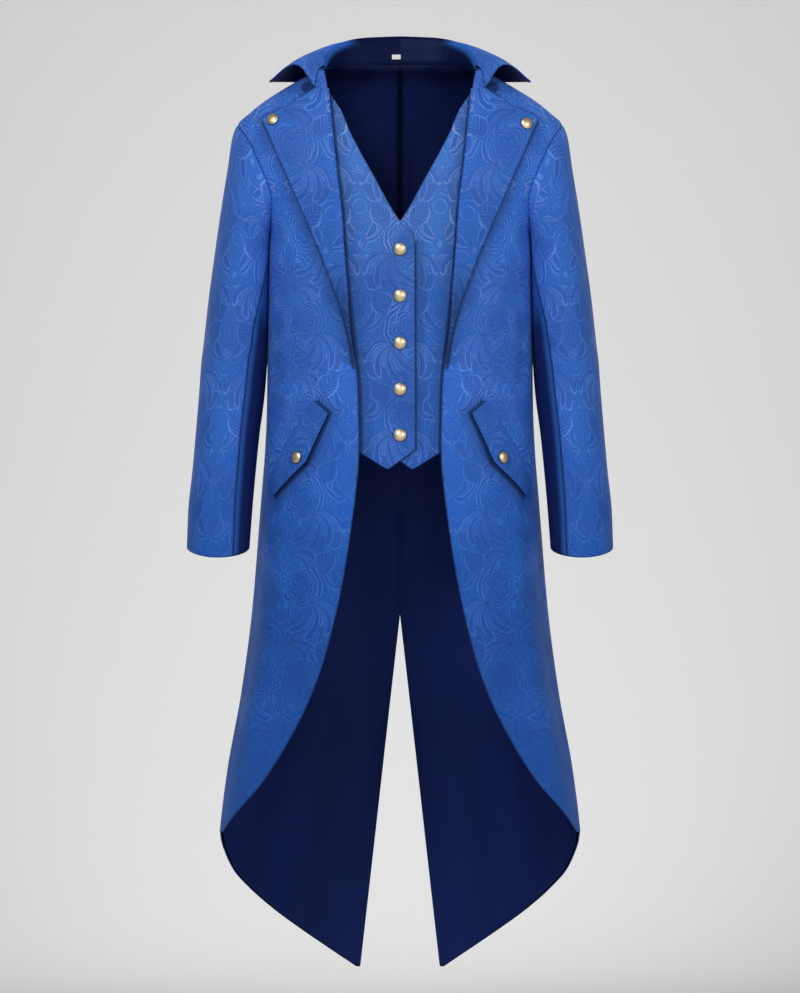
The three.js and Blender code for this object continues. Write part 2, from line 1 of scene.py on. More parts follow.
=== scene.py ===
# Costume tailcoat in royal blue figured cloth, filled out as if worn, with nobody inside it.
# Each cloth piece is a fine sheet laid on the coat's own surfaces. Shapes are worked out in millimetres.
import bpy
import bmesh
import math
import numpy as np
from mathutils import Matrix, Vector


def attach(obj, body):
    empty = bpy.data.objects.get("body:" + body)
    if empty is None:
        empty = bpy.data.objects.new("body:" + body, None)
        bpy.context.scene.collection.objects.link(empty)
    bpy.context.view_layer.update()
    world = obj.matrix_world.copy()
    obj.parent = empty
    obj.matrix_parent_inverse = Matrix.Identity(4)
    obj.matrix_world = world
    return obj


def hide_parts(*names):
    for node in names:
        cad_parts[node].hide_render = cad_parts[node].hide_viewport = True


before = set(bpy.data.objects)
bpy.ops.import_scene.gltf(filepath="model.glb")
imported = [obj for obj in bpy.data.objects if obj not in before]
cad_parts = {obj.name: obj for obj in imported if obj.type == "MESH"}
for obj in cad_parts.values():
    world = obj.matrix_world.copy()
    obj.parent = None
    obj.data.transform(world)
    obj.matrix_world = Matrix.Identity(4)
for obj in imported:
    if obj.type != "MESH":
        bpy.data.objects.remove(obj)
scene = bpy.context.scene
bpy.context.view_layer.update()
print("frame loaded:", len(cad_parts), "nodes")

# Tables of the cut

# Horizontal sections of the body: level, half width, depth before and behind the shoulder line
bodySections = [
    (34, 108, 12, 74), (23, 111, 15, 73), (20, 116, 19, 75), (8, 138, 31, 80), (-7, 164, 44, 86),
    (-24, 191, 58, 92), (-41, 212, 68, 97), (-58, 229, 76, 101), (-90, 231, 92, 107),
    (-119, 226, 103, 111), (-138, 220, 109, 113), (-159, 208, 113, 115), (-190, 193, 117, 116),
    (-215, 186.5, 119, 116), (-296, 186, 119, 110), (-376, 186.5, 117, 101), (-461, 187.5, 121, 108),
    (-518, 190, 127, 118), (-575, 194.5, 131, 126), (-632, 199, 134, 132), (-745, 208.5, 140, 140),
    (-859, 223.5, 148, 149), (-973, 244, 156, 158), (-1058, 254.5, 162, 164), (-1143, 261, 166, 169),
    (-1257, 268, 170, 175),
]
# Armhole: level, degrees cut forward of the side line and behind it
armholeCuts = [
    (-215, 0, 0), (-205, 11, 9), (-190, 18.5, 15), (-175, 24.5, 19.5), (-159, 29, 23), (-138, 31.3, 25),
    (-101, 27.8, 22), (-76, 20.8, 16), (-62, 10, 8), (-58, 0, 0),
]
# The coat's front edge: level, distance from the middle
frontEdge = [
    (20, 107), (-13, 101.5), (-41, 98.7), (-106, 91.6), (-181, 83), (-257, 77.5), (-342, 69.4),
    (-433, 59.5), (-522, 57.8), (-575, 61.8), (-618, 67.3), (-672, 75), (-730, 85.5), (-781, 97.5),
    (-816, 107), (-873, 128),
    (-930, 157), (-987, 193), (-1030, 228), (-1063, 253),
]
# The lapel's free edge: level, distance from the middle
lapelEdge = [
    (-8.5, 119), (-17, 135), (-31, 157), (-41, 176), (-48, 191), (-52, 193), (-68, 186), (-98, 173),
    (-155, 147), (-216, 120), (-257, 104), (-317, 82.8), (-368, 70), (-400, 65.5),
]
# The waistcoat: level, inner edge, outer edge
waistcoatEdges = [
    (-11.4, 100, 127), (-38, 83, 124), (-68, 70.3, 121), (-130, 37, 114), (-193, 0.8, 107),
    (-217, -21.5, 105), (-300, -21.5, 98), (-505, -22, 83), (-511, -22, 74.5), (-517, -22, 65),
    (-523, -14.4, 55.3), (-535, 2, 36), (-545.5, 16.5, 19),
]
# The tail's hem from behind: level, distance from the middle
tailHem = [
    (-1063, 254), (-1074, 252.5), (-1086, 249), (-1115, 236), (-1143, 212), (-1171, 180),
    (-1200, 141), (-1228, 101), (-1257, 58),
]
# Sleeve: level, inner reach, outer reach, half depth, middle, angle of the front seam
sleeveSections = [
    (-235, 179, 261, 61, 12, 146), (-300, 181, 269.5, 59, 12, 126), (-348, 183, 274.5, 56, 11, 115),
    (-376, 184.5, 277.5, 54, 10, 113), (-390, 187, 279.5, 53.2, 8.8, 112.7), (-433, 191.5, 283, 51, 6, 112),
    (-470, 197, 286.3, 49.6, 2.4, 112.6), (-490, 200, 288, 49, 0, 113),
    (-547, 206, 293, 47.5, -8, 114.5), (-603, 211, 299, 46, -18, 116), (-656, 215, 301, 45, -28, 118),
]
# Collar from the centre back to its front end: place, then neck seam, fold and free edge, then the roll
collarSections = [
    (0, 0, 75, 35.5, 0, 83, 67.5, 0, 92, 2, 12),
    (0.22, 46, 68, 35.3, 51, 75, 65.5, 66, 84, 2, 13),
    (0.45, 84, 49, 32, 93, 54, 58, 122, 62, 3, 18),
    (0.65, 108, 20, 28, 120, 22, 47.5, 158, 32, 5, 26),
    (0.83, 118, -8, 19, 136, -8, 39, 180, -6, 5, 34),
    (1, 122, -32, -3, 150, -34, 28, 186, -40, 3.5, 40),
]


# Reads one column of a table as a smooth curve that never overshoots its rows
def tableCurve(rows, column):
    table = np.array(sorted(rows), float)
    key, value = table[:, 0], table[:, column]
    slope = np.diff(value) / np.diff(key)
    tangent = np.concatenate([[slope[0]], np.zeros(len(key) - 2), [slope[-1]]])
    for i in range(1, len(key) - 1):
        if slope[i - 1] * slope[i] > 0:
            tangent[i] = 2 * slope[i - 1] * slope[i] / (slope[i - 1] + slope[i])
    at = np.linspace(key[0], key[-1], 1500)
    row = np.clip(np.searchsorted(key, at, side="right") - 1, 0, len(key) - 2)
    step = key[row + 1] - key[row]
    t = (at - key[row]) / step
    fine = (
        (2 * t**3 - 3 * t**2 + 1) * value[row]
        + (t**3 - 2 * t**2 + t) * step * tangent[row]
        + (3 * t**2 - 2 * t**3) * value[row + 1]
        + (t**3 - t**2) * step * tangent[row + 1]
    )
    return lambda x: float(np.interp(x, at, fine))


halfAt, frontAt, backAt = (tableCurve(bodySections, i) for i in (1, 2, 3))
cutFrontAt, cutBackAt = (tableCurve(armholeCuts, i) for i in (1, 2))
frontEdgeAt = tableCurve(frontEdge, 1)
lapelEdgeAt = tableCurve(lapelEdge, 1)
waistInnerAt, waistOuterAt = (tableCurve(waistcoatEdges, i) for i in (1, 2))
tailHemAt = tableCurve(tailHem, 1)
armInnerAt, armOuterAt, armDepthAt, armMiddleAt, armSeamAt = (
    tableCurve(sleeveSections, i) for i in (1, 2, 3, 4, 5)
)
collarAt = [tableCurve(collarSections, i) for i in range(1, 11)]


def ease(x, low, high):
    t = min(max((x - low) / (high - low), 0), 1)
    return t * t * (3 - 2 * t)


def blend(a, b, t):
    return a + (b - a) * t


# Creases that the cloth takes when it is worn. Each is a soft ridge, or a trough where its height is
# negative: degrees round, level, half its run down, half its width, lean, height
bodyCreases = [
    (38, -255, 95, 20, 0.45, -1.6), (50, -300, 90, 16, 0.55, 1.3), (66, -330, 70, 15, -0.35, -2.0),
    (60, -455, 80, 20, 0.25, -1.6), (74, -420, 70, 14, 0.05, 1.6), (32, -620, 160, 26, 0.1, 1.6),
    (46, -760, 230, 26, -0.06, -2.6), (60, -840, 240, 26, -0.08, 3.0), (76, -800, 260, 22, -0.04, -2.4),
    (22, -160, 60, 18, 0.5, -1.2), (108, -300, 90, 17, -0.4, -2.6), (122, -400, 70, 15, 0.45, 2.2),
    (140, -395, 55, 18, 0.15, -2.2), (165, -380, 70, 22, 0.05, 1.6), (112, -640, 190, 24, 0.05, 2.6),
    (128, -820, 260, 26, 0.02, -3.4), (146, -860, 280, 28, 0, 3.6), (164, -900, 300, 24, 0, -3.0),
    (150, -120, 80, 20, 0.6, -1.6), (118, -190, 70, 16, -0.5, 1.8),
]
sleeveCreases = [
    (128, -330, 36, 11, 0.75, -2.6), (112, -352, 40, 10, 0.8, 2.4), (96, -385, 44, 12, 0.9, -3.0),
    (70, -420, 60, 15, 0.6, 2.0), (40, -455, 70, 18, 0.4, -1.8), (205, -372, 42, 12, -0.8, -2.8),
    (232, -400, 46, 12, -0.9, 2.4), (290, -410, 80, 18, -0.4, 1.8), (60, -560, 60, 15, 0.5, 1.3),
    (95, -590, 50, 14, 0.5, -1.6), (25, -250, 90, 20, 0.25, -1.4), (330, -300, 120, 20, -0.2, 1.6),
    (95, -235, 50, 13, -0.6, 1.5), (250, -560, 70, 16, -0.3, -1.6),
]


def creaseHeight(creases, turn, z, radius, side):
    total = 0
    for degreesRound, level, run, wide, lean, height in creases:
        if side < 0:
            degreesRound, level, height = degreesRound + 3, level - 14, height * 0.85
        down = z - level
        if abs(down) > 2.2 * run:
            continue
        across = math.radians(turn - degreesRound) * radius - lean * down
        if abs(across) > 3 * wide:
            continue
        total += height * math.exp(-((across / wide) ** 2) - (down / run) ** 2)
    return total


# A point of the coat's body. Angle 0 is the centre front, a quarter turn the side, a half the back.
def bodyPoint(angle, z, side=1):
    bent = min(max(angle, 0), math.pi)
    hang = ease(-z, 560, 1150)
    fade = math.sin(min(max((bent - math.pi / 2) / (math.pi / 2), 0), 1) * math.pi)
    fold = 5 * hang * fade * math.cos(7 * (bent - math.pi / 2))
    depth = frontAt(z) if math.cos(angle) > 0 else backAt(z) + fold
    half = halfAt(z)
    point = Vector((half * math.sin(angle), -depth * math.cos(angle), z))
    quiet = ease(-z, 60, 130)
    raised = quiet * creaseHeight(bodyCreases, math.degrees(bent), z, 170, side)
    return point + Vector((math.sin(angle), -math.cos(angle), 0)) * raised


def bodyNormal(angle, z, side=1):
    z = min(max(z, -1256), 33)
    round = bodyPoint(angle + 0.003, z, side) - bodyPoint(angle - 0.003, z, side)
    up = bodyPoint(angle, z + 0.6, side) - bodyPoint(angle, z - 0.6, side)
    return round.cross(up).normalized()


def bodyOffset(angle, z, out, side=1):
    return bodyPoint(angle, z, side) + bodyNormal(angle, z, side) * out


def angleInFront(x, z):
    return math.asin(min(max(x / halfAt(z), -1), 1))


def angleBehind(x, z):
    return math.pi - angleInFront(x, z)


def roundStep(angle, z):
    return (bodyPoint(angle + 0.002, z) - bodyPoint(angle - 0.002, z)).length / 0.004


# Girth from the centre front at chest level, to measure the cloth's pattern round the body
girthAngles = np.linspace(-0.4, math.pi + 0.2, 240)
girthSteps = [roundStep(a, -430) for a in girthAngles]
girth = np.concatenate([[0], np.cumsum(np.diff(girthAngles) * np.array(girthSteps[1:]))])
girth -= np.interp(0, girthAngles, girth)


def girthAt(angle, z):
    return float(np.interp(angle, girthAngles, girth)) * blend(1, halfAt(z) / halfAt(-430), 0.6)


# Finishes
palette = {
    "cloth": "#3169c6",
    "figure": "#2152ab",
    "thread": "#6f97e6",
    "lining": "#111c4c",
    # The undersleeve's navy is painted shade on the sleeve's inner side
    "undersleeve": "#132156",
    "brass": "#eddab8",
    "label": "#f4f3f2",
    "paper": "#d9d9d9",
}


def linear(hexColour):
    parts = [int(hexColour[i : i + 2], 16) / 255 for i in (1, 3, 5)]
    return tuple(c / 12.92 if c <= 0.04045 else ((c + 0.055) / 1.055) ** 2.4 for c in parts) + (1,)


def shade(hexColour, amount):
    return tuple(c * amount for c in linear(hexColour)[:3]) + (1,)


# Adds a node. Links are sockets, nodes or plain values, in the order of its inputs or by name.
def addNode(tree, kind, links=(), **settings):
    node = tree.nodes.new("ShaderNode" + kind)
    for key, value in settings.items():
        setattr(node, key, value)
    pairs = links.items() if isinstance(links, dict) else enumerate(links)
    for key, value in pairs:
        if isinstance(value, bpy.types.Node):
            value = value.outputs[0]
        if isinstance(value, bpy.types.NodeSocket):
            tree.links.new(value, node.inputs[key])
        elif value is not None:
            node.inputs[key].default_value = value
    return node


# The sum, ramp and colour mix nodes, which the finishes use most
def calc(tree, operation, *values):
    return addNode(tree, "Math", values, operation=operation)


def ramp(tree, value, low, high, start=0, end=1, smooth=False):
    ends = {"Value": value, "From Min": low, "From Max": high, "To Min": start, "To Max": end}
    return addNode(tree, "MapRange", ends, interpolation_type="SMOOTHSTEP" if smooth else "LINEAR")


def blendColours(tree, share, first, second):
    return addNode(tree, "Mix", {"Factor": share, 6: first, 7: second}, data_type="RGBA")


# The figured weave: flowers, fans of curved leaves, veined leaves and stems. Half of the repeat is drawn and
# then mirrored. Rows give the kind, the place in mm, the size in mm and the turn in degrees.
damask = {
    "repeatDown": 126,
    "repeatAcross": 96,
    "motifs": [
        ("flower", 27, 42, 26, 100),
        ("fan", 46, 22, 54, -38),
        ("leaf", 60, 58, 42, 62),
        ("fan", 10, 86, 46, 48),
        ("arc", 27, 42, 37, 20),
        ("leaf", 90, 122, 36, 205),
        ("arc", 72, 104, 20, 150),
        ("blade", 6, 112, 30, 15),
        ("arc", 88, 30, 19, -70),
        ("blade", 90, 46, 30, 118),
        ("stem", 36, 72, 58, -24),
        ("stem", 2, 30, 46, -74),
    ],
}


# Returns where a motif's cloth lies and where its threads run, as two sockets
def drawMotif(tree, kind, local):
    split = addNode(tree, "SeparateXYZ", [local])
    x, y = split.outputs[0], split.outputs[1]
    if kind in ("flower", "fan"):
        reach = addNode(tree, "VectorMath", [local], operation="LENGTH").outputs["Value"]
        turn = calc(tree, "ARCTAN2", y, x)
    if kind == "flower":
        wave = calc(tree, "MULTIPLY", turn, 2.5)
        wave = calc(tree, "SINE", wave)
        wave = calc(tree, "ABSOLUTE", wave)
        petal = calc(tree, "MULTIPLY_ADD", wave, 0.34, 0.68)
        deep = calc(tree, "DIVIDE", reach, petal)
        inside = ramp(tree, deep, 1.06, 0.98)
        rings = calc(tree, "PINGPONG", deep, 0.1)
        rings = ramp(tree, rings, 0.055, 0.09)
        outer = calc(tree, "COMPARE", deep, 0.82, 0.3)
        rings = calc(tree, "MULTIPLY", rings, outer)
        veins = calc(tree, "MULTIPLY", turn, 10)
        veins = calc(tree, "COSINE", veins)
        veins = ramp(tree, veins, 0.72, 0.95)
        heart = calc(tree, "COMPARE", deep, 0.26, 0.2)
        veins = calc(tree, "MULTIPLY", veins, heart)
        threads = calc(tree, "MAXIMUM", rings, veins)
        return inside, threads
    if kind == "fan":
        bent = calc(tree, "MULTIPLY_ADD", reach, 1.05, turn)
        wave = calc(tree, "MULTIPLY", bent, 5.2)
        wave = calc(tree, "COSINE", wave)
        wave = calc(tree, "ABSOLUTE", wave)
        tip = calc(tree, "MULTIPLY_ADD", wave, 0.4, 0.6)
        deep = calc(tree, "DIVIDE", reach, tip)
        spread = calc(tree, "COMPARE", bent, 0.1, 1.16)
        shape = ramp(tree, deep, 1.02, 0.96)
        shape = calc(tree, "MULTIPLY", shape, spread)
        blade = ramp(tree, wave, 0.3, 0.45)
        inside = calc(tree, "MULTIPLY", shape, blade)
        sides = calc(tree, "COMPARE", wave, 0.3, 0.11)
        inner = calc(tree, "COMPARE", wave, 0.78, 0.09)
        sides = calc(tree, "MAXIMUM", sides, inner)
        sides = calc(tree, "MULTIPLY", sides, shape)
        rim = calc(tree, "COMPARE", deep, 0.98, 0.03)
        rim = calc(tree, "MULTIPLY", rim, spread)
        return inside, calc(tree, "MAXIMUM", sides, rim)
    if kind == "arc":
        reach = addNode(tree, "VectorMath", [local], operation="LENGTH").outputs["Value"]
        turn = calc(tree, "ARCTAN2", y, x)
        taper = calc(tree, "MULTIPLY_ADD", turn, 0.055, 1.0)
        band = calc(tree, "DIVIDE", reach, taper)
        along = calc(tree, "COMPARE", turn, 0.0, 1.25)
        off = calc(tree, "SUBTRACT", band, 0.9)
        off = calc(tree, "ABSOLUTE", off)
        inside = calc(tree, "LESS_THAN", off, 0.15)
        inside = calc(tree, "MULTIPLY", inside, along)
        rim = calc(tree, "PINGPONG", off, 0.075)
        rim = calc(tree, "COMPARE", rim, 0.075, 0.022)
        rim = calc(tree, "MULTIPLY", rim, inside)
        return inside, calc(tree, "MULTIPLY", rim, along)
    if kind in ("leaf", "blade"):
        wide = 0.36 if kind == "leaf" else 0.17
        bow = calc(tree, "MULTIPLY", x, math.pi)
        bow = calc(tree, "SINE", bow)
        onLeaf = calc(tree, "COMPARE", x, 0.5, 0.5)
        arch = calc(tree, "MULTIPLY_ADD", bow, -0.12, y)
        across = calc(tree, "ABSOLUTE", arch)
        width = calc(tree, "MULTIPLY", bow, wide)
        width = calc(tree, "MULTIPLY", width, onLeaf)
        width = calc(tree, "MAXIMUM", width, 0.001)
        deep = calc(tree, "DIVIDE", across, width)
        inside = ramp(tree, deep, 1.05, 0.95)
        rim = calc(tree, "COMPARE", deep, 1.0, 0.1 if kind == "leaf" else 0.18)
        if kind == "blade":
            return inside, rim
        veins = calc(tree, "MULTIPLY_ADD", across, -1.1, x)
        veins = calc(tree, "PINGPONG", veins, 0.075)
        veins = ramp(tree, veins, 0.05, 0.066)
        veins = calc(tree, "MULTIPLY", veins, inside)
        return inside, calc(tree, "MAXIMUM", veins, rim)
    wave = calc(tree, "MULTIPLY", x, 5.4)
    wave = calc(tree, "SINE", wave)
    sway = calc(tree, "MULTIPLY_ADD", wave, -0.14, y)
    across = calc(tree, "ABSOLUTE", sway)
    along = calc(tree, "COMPARE", x, 0.5, 0.5)
    inside = ramp(tree, across, 0.062, 0.05)
    inside = calc(tree, "MULTIPLY", inside, along)
    rim = calc(tree, "COMPARE", across, 0.055, 0.016)
    return inside, calc(tree, "MULTIPLY", rim, along)


def damaskGroup():
    tree = bpy.data.node_groups.new("damaskFigure", "ShaderNodeTree")
    tree.interface.new_socket("Place", in_out="INPUT", socket_type="NodeSocketVector")
    for name in ("Figure", "Thread"):
        tree.interface.new_socket(name, in_out="OUTPUT", socket_type="NodeSocketFloat")
    entry = tree.nodes.new("NodeGroupInput")
    leave = tree.nodes.new("NodeGroupOutput")
    split = addNode(tree, "SeparateXYZ", [entry.outputs[0]])
    mirrored = calc(tree, "PINGPONG", split.outputs[0], damask["repeatAcross"])
    figure, thread = None, None
    for kind, x, y, size, turn in damask["motifs"]:
        half = damask["repeatDown"] / 2
        down = calc(tree, "WRAP", split.outputs[1], y + half, y - half)
        place = addNode(tree, "CombineXYZ", [mirrored, down])
        spot = {"Vector": place, "Location": (x, y, 0), "Rotation": (0, 0, math.radians(turn)),
                "Scale": (size, size, 1)}
        local = addNode(tree, "Mapping", spot, vector_type="TEXTURE")
        inside, threads = drawMotif(tree, kind, local)
        if figure is None:
            figure, thread = inside, threads
            continue
        hidden = calc(tree, "SUBTRACT", 1, figure)
        threads = calc(tree, "MULTIPLY", threads, hidden)
        figure = calc(tree, "MAXIMUM", figure, inside)
        thread = calc(tree, "MAXIMUM", thread, threads)
    # Curling lines fill the ground between the motifs, each following the last like rings in wood
    place = addNode(tree, "CombineXYZ", [mirrored, split.outputs[1]])
    curl = addNode(tree, "TexNoise", {"Vector": place, "Scale": 0.024, "Detail": 0.4, "Distortion": 0.7})
    curl = calc(tree, "MULTIPLY", curl.outputs["Fac"], 15)
    curl = calc(tree, "PINGPONG", curl, 0.5)
    band = ramp(tree, curl, 0.1, 0.4, 0, 0.6)
    line = ramp(tree, curl, 0.12, 0.02, 0, 0.95)
    ground = calc(tree, "SUBTRACT", 1, figure)
    line = calc(tree, "MULTIPLY", line, ground)
    figure = calc(tree, "MAXIMUM", figure, band)
    thread = calc(tree, "MAXIMUM", thread, line)
    tree.links.new(figure.outputs[0], leave.inputs[0])
    tree.links.new(thread.outputs[0], leave.inputs[1])
    return tree


damaskTree = damaskGroup()


def newMaterial(name):
    material = bpy.data.materials.new(name)
    material.use_nodes = True
    tree = material.node_tree
    surface = tree.nodes["Principled BSDF"]
    return material, tree, surface


# The cloth's own measure in mm, which every weave is drawn in
def clothPlace(tree):
    place = addNode(tree, "UVMap", uv_map="cloth")
    return addNode(tree, "VectorMath", {0: place, "Scale": 1000}, operation="SCALE")


def setInputs(node, values):
    for name, value in values.items():
        node.inputs[name].default_value = value


# Paints shade beside the piece's own edges, and a painted shadow where another piece lies over it
def shadeEdges(tree, colour, dark, line=0.5, layers=("sides", "ends")):
    distances = []
    for layer in layers:
        split = addNode(tree, "SeparateXYZ", [addNode(tree, "UVMap", uv_map=layer)])
        distances += [split.outputs[0], split.outputs[1]]
    nearest = distances[0] if distances else 1
    for other in distances[1:]:
        nearest = calc(tree, "MINIMUM", nearest, other)
    # Painted shade along the piece's own edges
    edge = ramp(tree, nearest, 0.0028, 0.0008, 0, line)
    over = addNode(tree, "Attribute", attribute_name="fromCover")
    # Painted shadow beside a covering edge, with a wider soft fringe below
    cast = ramp(tree, over.outputs["Fac"], 0.006, 0.0005, 0, 0.85, smooth=True)
    amount = calc(tree, "MAXIMUM", edge, cast)
    wide = ramp(tree, over.outputs["Fac"], 0.024, 0.002, 0, 0.34, smooth=True)
    amount = calc(tree, "MAXIMUM", amount, wide)
    return blendColours(tree, amount, colour, dark).outputs[2]


# Polyester jacquard: the figure is a smooth satin weave, a little darker than the ribbed ground, and paler
# threads outline it. The ground's real rib is 0.4 mm. It is drawn at 1.3 mm so that it shows.
def figuredCloth(name, tone=1.0, strength=1.0, layers=("sides",), pale=(1, 1, 1, 1), endShade=1.0):
    material, tree, surface = newMaterial(name)
    inMillimetres = clothPlace(tree)
    wobble = addNode(tree, "TexNoise", {"Vector": inMillimetres, "Scale": 0.045, "Detail": 1})
    wobble = addNode(tree, "VectorMath", [wobble.outputs["Color"], (0.5, 0.5, 0.5)], operation="SUBTRACT")
    wobble = addNode(tree, "VectorMath", {0: wobble, "Scale": 9}, operation="SCALE")
    bent = addNode(tree, "VectorMath", [inMillimetres, wobble], operation="ADD")
    group = tree.nodes.new("ShaderNodeGroup")
    group.node_tree = damaskTree
    tree.links.new(bent.outputs[0], group.inputs[0])
    figure, thread = group.outputs
    spot = addNode(tree, "SeparateXYZ", [addNode(tree, "TexCoord").outputs["Object"]])
    # Below z -0.8 the figure and its threads fade, down to a third at z -1.0
    hemFade = ramp(tree, spot.outputs[2], -1.0, -0.8, 0.35)
    figure = calc(tree, "MULTIPLY", figure, hemFade)
    thread = calc(tree, "MULTIPLY", thread, hemFade)
    # Painted light and shade by height: darker towards the hem, from z -0.45 down to -0.8, and brighter
    # above z -0.32
    lower = ramp(tree, spot.outputs[2], -0.8, -0.45, 0.68, 1.12, smooth=True)
    upper = ramp(tree, spot.outputs[2], -0.32, -0.12, 1.0, 1.16, smooth=True)

    # Painted shade below z -0.25, at endShade: for the lapels, their lower ends where they roll under
    rollShade = ramp(tree, spot.outputs[2], -0.345, -0.25, endShade, smooth=True)
    # The painted shade towards the hem is tinted bluer, and pale tints the top from z -0.32 up as a painted
    # sheen
    low = ramp(tree, spot.outputs[2], -0.35, -0.8, smooth=True)
    tint = blendColours(tree, low, (1, 1, 1, 1), (0.55, 1.0, 1.15, 1))
    high = ramp(tree, spot.outputs[2], -0.32, -0.18, smooth=True)
    tint = blendColours(tree, high, tint.outputs[2], pale)
    grain = addNode(tree, "TexNoise", {"Vector": inMillimetres, "Scale": 0.4, "Detail": 3,
                                       "Roughness": 0.8})
    speck = ramp(tree, grain.outputs["Fac"], 0.24, 0.76)
    wear = addNode(tree, "TexNoise", {"Vector": inMillimetres, "Scale": 0.012, "Detail": 2})
    ground = blendColours(tree, speck, shade(palette["cloth"], 0.5 * tone),
                          shade(palette["cloth"], 1.6 * tone))
    dark = calc(tree, "MULTIPLY", figure, 0.7 * strength)
    figured = blendColours(tree, dark, ground.outputs[2], shade(palette["figure"], tone))
    patchy = ramp(tree, wear.outputs["Fac"], 0.35, 0.65, 0.2 * strength, 0.54 * strength)
    pale = calc(tree, "MULTIPLY", thread, patchy)
    lined = blendColours(tree, pale, figured.outputs[2], shade(palette["thread"], tone))
    brightness = ramp(tree, wear.outputs["Fac"], 0, 1, 0.8, 1.2)
    brightness = calc(tree, "MULTIPLY", brightness, lower)
    brightness = calc(tree, "MULTIPLY", brightness, upper)
    brightness = calc(tree, "MULTIPLY", brightness, rollShade)
    final = addNode(tree, "VectorMath", {0: lined.outputs[2], "Scale": brightness}, operation="SCALE")
    final = addNode(tree, "VectorMath", [final, tint.outputs[2]], operation="MULTIPLY")
    # The painted edge shade and cast shadow are dark navy
    edged = shadeEdges(tree, final.outputs[0], linear("#0b1a4a"), layers=layers)
    tree.links.new(edged, surface.inputs["Base Color"])

    rib = addNode(tree, "TexWave", {"Vector": inMillimetres, "Scale": 0.24, "Distortion": 1.5,
                                    "Detail": 1}, bands_direction="DIAGONAL")
    flat = calc(tree, "SUBTRACT", 1, figure)
    rib = calc(tree, "MULTIPLY", rib.outputs["Fac"], flat)
    relief = calc(tree, "MULTIPLY_ADD", thread, 1.2, rib)
    relief = calc(tree, "MULTIPLY_ADD", figure, 0.9, relief)
    relief = calc(tree, "MULTIPLY_ADD", grain.outputs["Fac"], 0.8, relief)
    bump = addNode(tree, "Bump", {"Height": relief, "Strength": 0.7, "Distance": 0.0009})
    tree.links.new(bump.outputs[0], surface.inputs["Normal"])
    rough = ramp(tree, figure, 0, 1, 0.6, 0.46)
    tree.links.new(rough.outputs[0], surface.inputs["Roughness"])
    setInputs(surface, {"Sheen Weight": 0.12, "Sheen Roughness": 0.5, "Sheen Tint": (0.4, 0.6, 1, 1),
                        "Specular IOR Level": 0.3, "Specular Tint": (0.6, 0.75, 1, 1)})
    return material


# Polyester satin lining: close and smooth, with a soft gloss and long shallow ripples
def satinLining(name, hexColour, gloss=0.45, seam=False, blueEnds=False):
    material, tree, surface = newMaterial(name)
    inMillimetres = clothPlace(tree)
    stretched = addNode(tree, "Mapping", {"Vector": inMillimetres, "Scale": (1, 0.12, 1)})
    ripple = addNode(tree, "TexNoise", {"Vector": stretched, "Scale": 0.022, "Detail": 2})
    grain = addNode(tree, "TexNoise", {"Vector": inMillimetres, "Scale": 0.9, "Detail": 2})
    # The tone follows the long ripples: painted light and shade on their folds
    tone = blendColours(tree, ripple.outputs["Fac"], shade(hexColour, 0.7), shade(hexColour, 1.35))
    colour = tone.outputs[2]
    sides = addNode(tree, "UVMap", uv_map="sides")
    apart = addNode(tree, "SeparateXYZ", [sides])
    # seam paints shade and light: a dark line in the fold of the centre-back pleat, the lining 2.2 times
    # brighter inside the coat to lift its shade, darker towards the tails, and darker under the collar stand
    # as its shadow
    if seam:
        middle = addNode(tree, "Attribute", attribute_name="fromCover").outputs["Fac"]
        near = ramp(tree, middle, 0.0034, 0.001)
        dark = blendColours(tree, near, colour, shade(hexColour, 0.2))
        height = addNode(tree, "SeparateXYZ", [addNode(tree, "TexCoord").outputs["Object"]]).outputs[2]
        inner = ramp(tree, height, -0.12, -0.3, 1.0, 2.2, smooth=True)
        tails = ramp(tree, height, -0.72, -0.95, 1.0, 0.6, smooth=True)
        standShadow = ramp(tree, height, -0.012, 0.016, 1.0, 0.45, smooth=True)
        inner = calc(tree, "MULTIPLY", inner, tails)
        inner = calc(tree, "MULTIPLY", inner, standShadow)
        colour = addNode(tree, "VectorMath", {0: dark.outputs[2], "Scale": inner},
                         operation="SCALE").outputs[0]
    # Painted shade: the stand is painted dark navy inside the back of the neck, grading to the cloth's blue
    # towards its ends and its top edge
    if blueEnds:
        nearest = calc(tree, "MINIMUM", apart.outputs[0], apart.outputs[1])
        fromTop = addNode(tree, "SeparateXYZ", [addNode(tree, "UVMap", uv_map="ends")]).outputs[1]
        near = ramp(tree, nearest, 0.085, 0.055, smooth=True)
        top = ramp(tree, fromTop, 0.014, 0.002, smooth=True)
        near = calc(tree, "MULTIPLY", near, top)
        blue = blendColours(tree, near, colour, shade(palette["cloth"], 0.95))
        colour = blue.outputs[2]
    tree.links.new(colour, surface.inputs["Base Color"])
    relief = calc(tree, "MULTIPLY_ADD", grain.outputs["Fac"], 0.05, ripple.outputs["Fac"])
    bump = addNode(tree, "Bump", {"Height": relief, "Strength": 0.35, "Distance": 0.004})
    tree.links.new(bump.outputs[0], surface.inputs["Normal"])
    setInputs(surface, {"Roughness": gloss, "Specular IOR Level": 0.16,
                        "Specular Tint": (0.35, 0.5, 1, 1)})
    return material


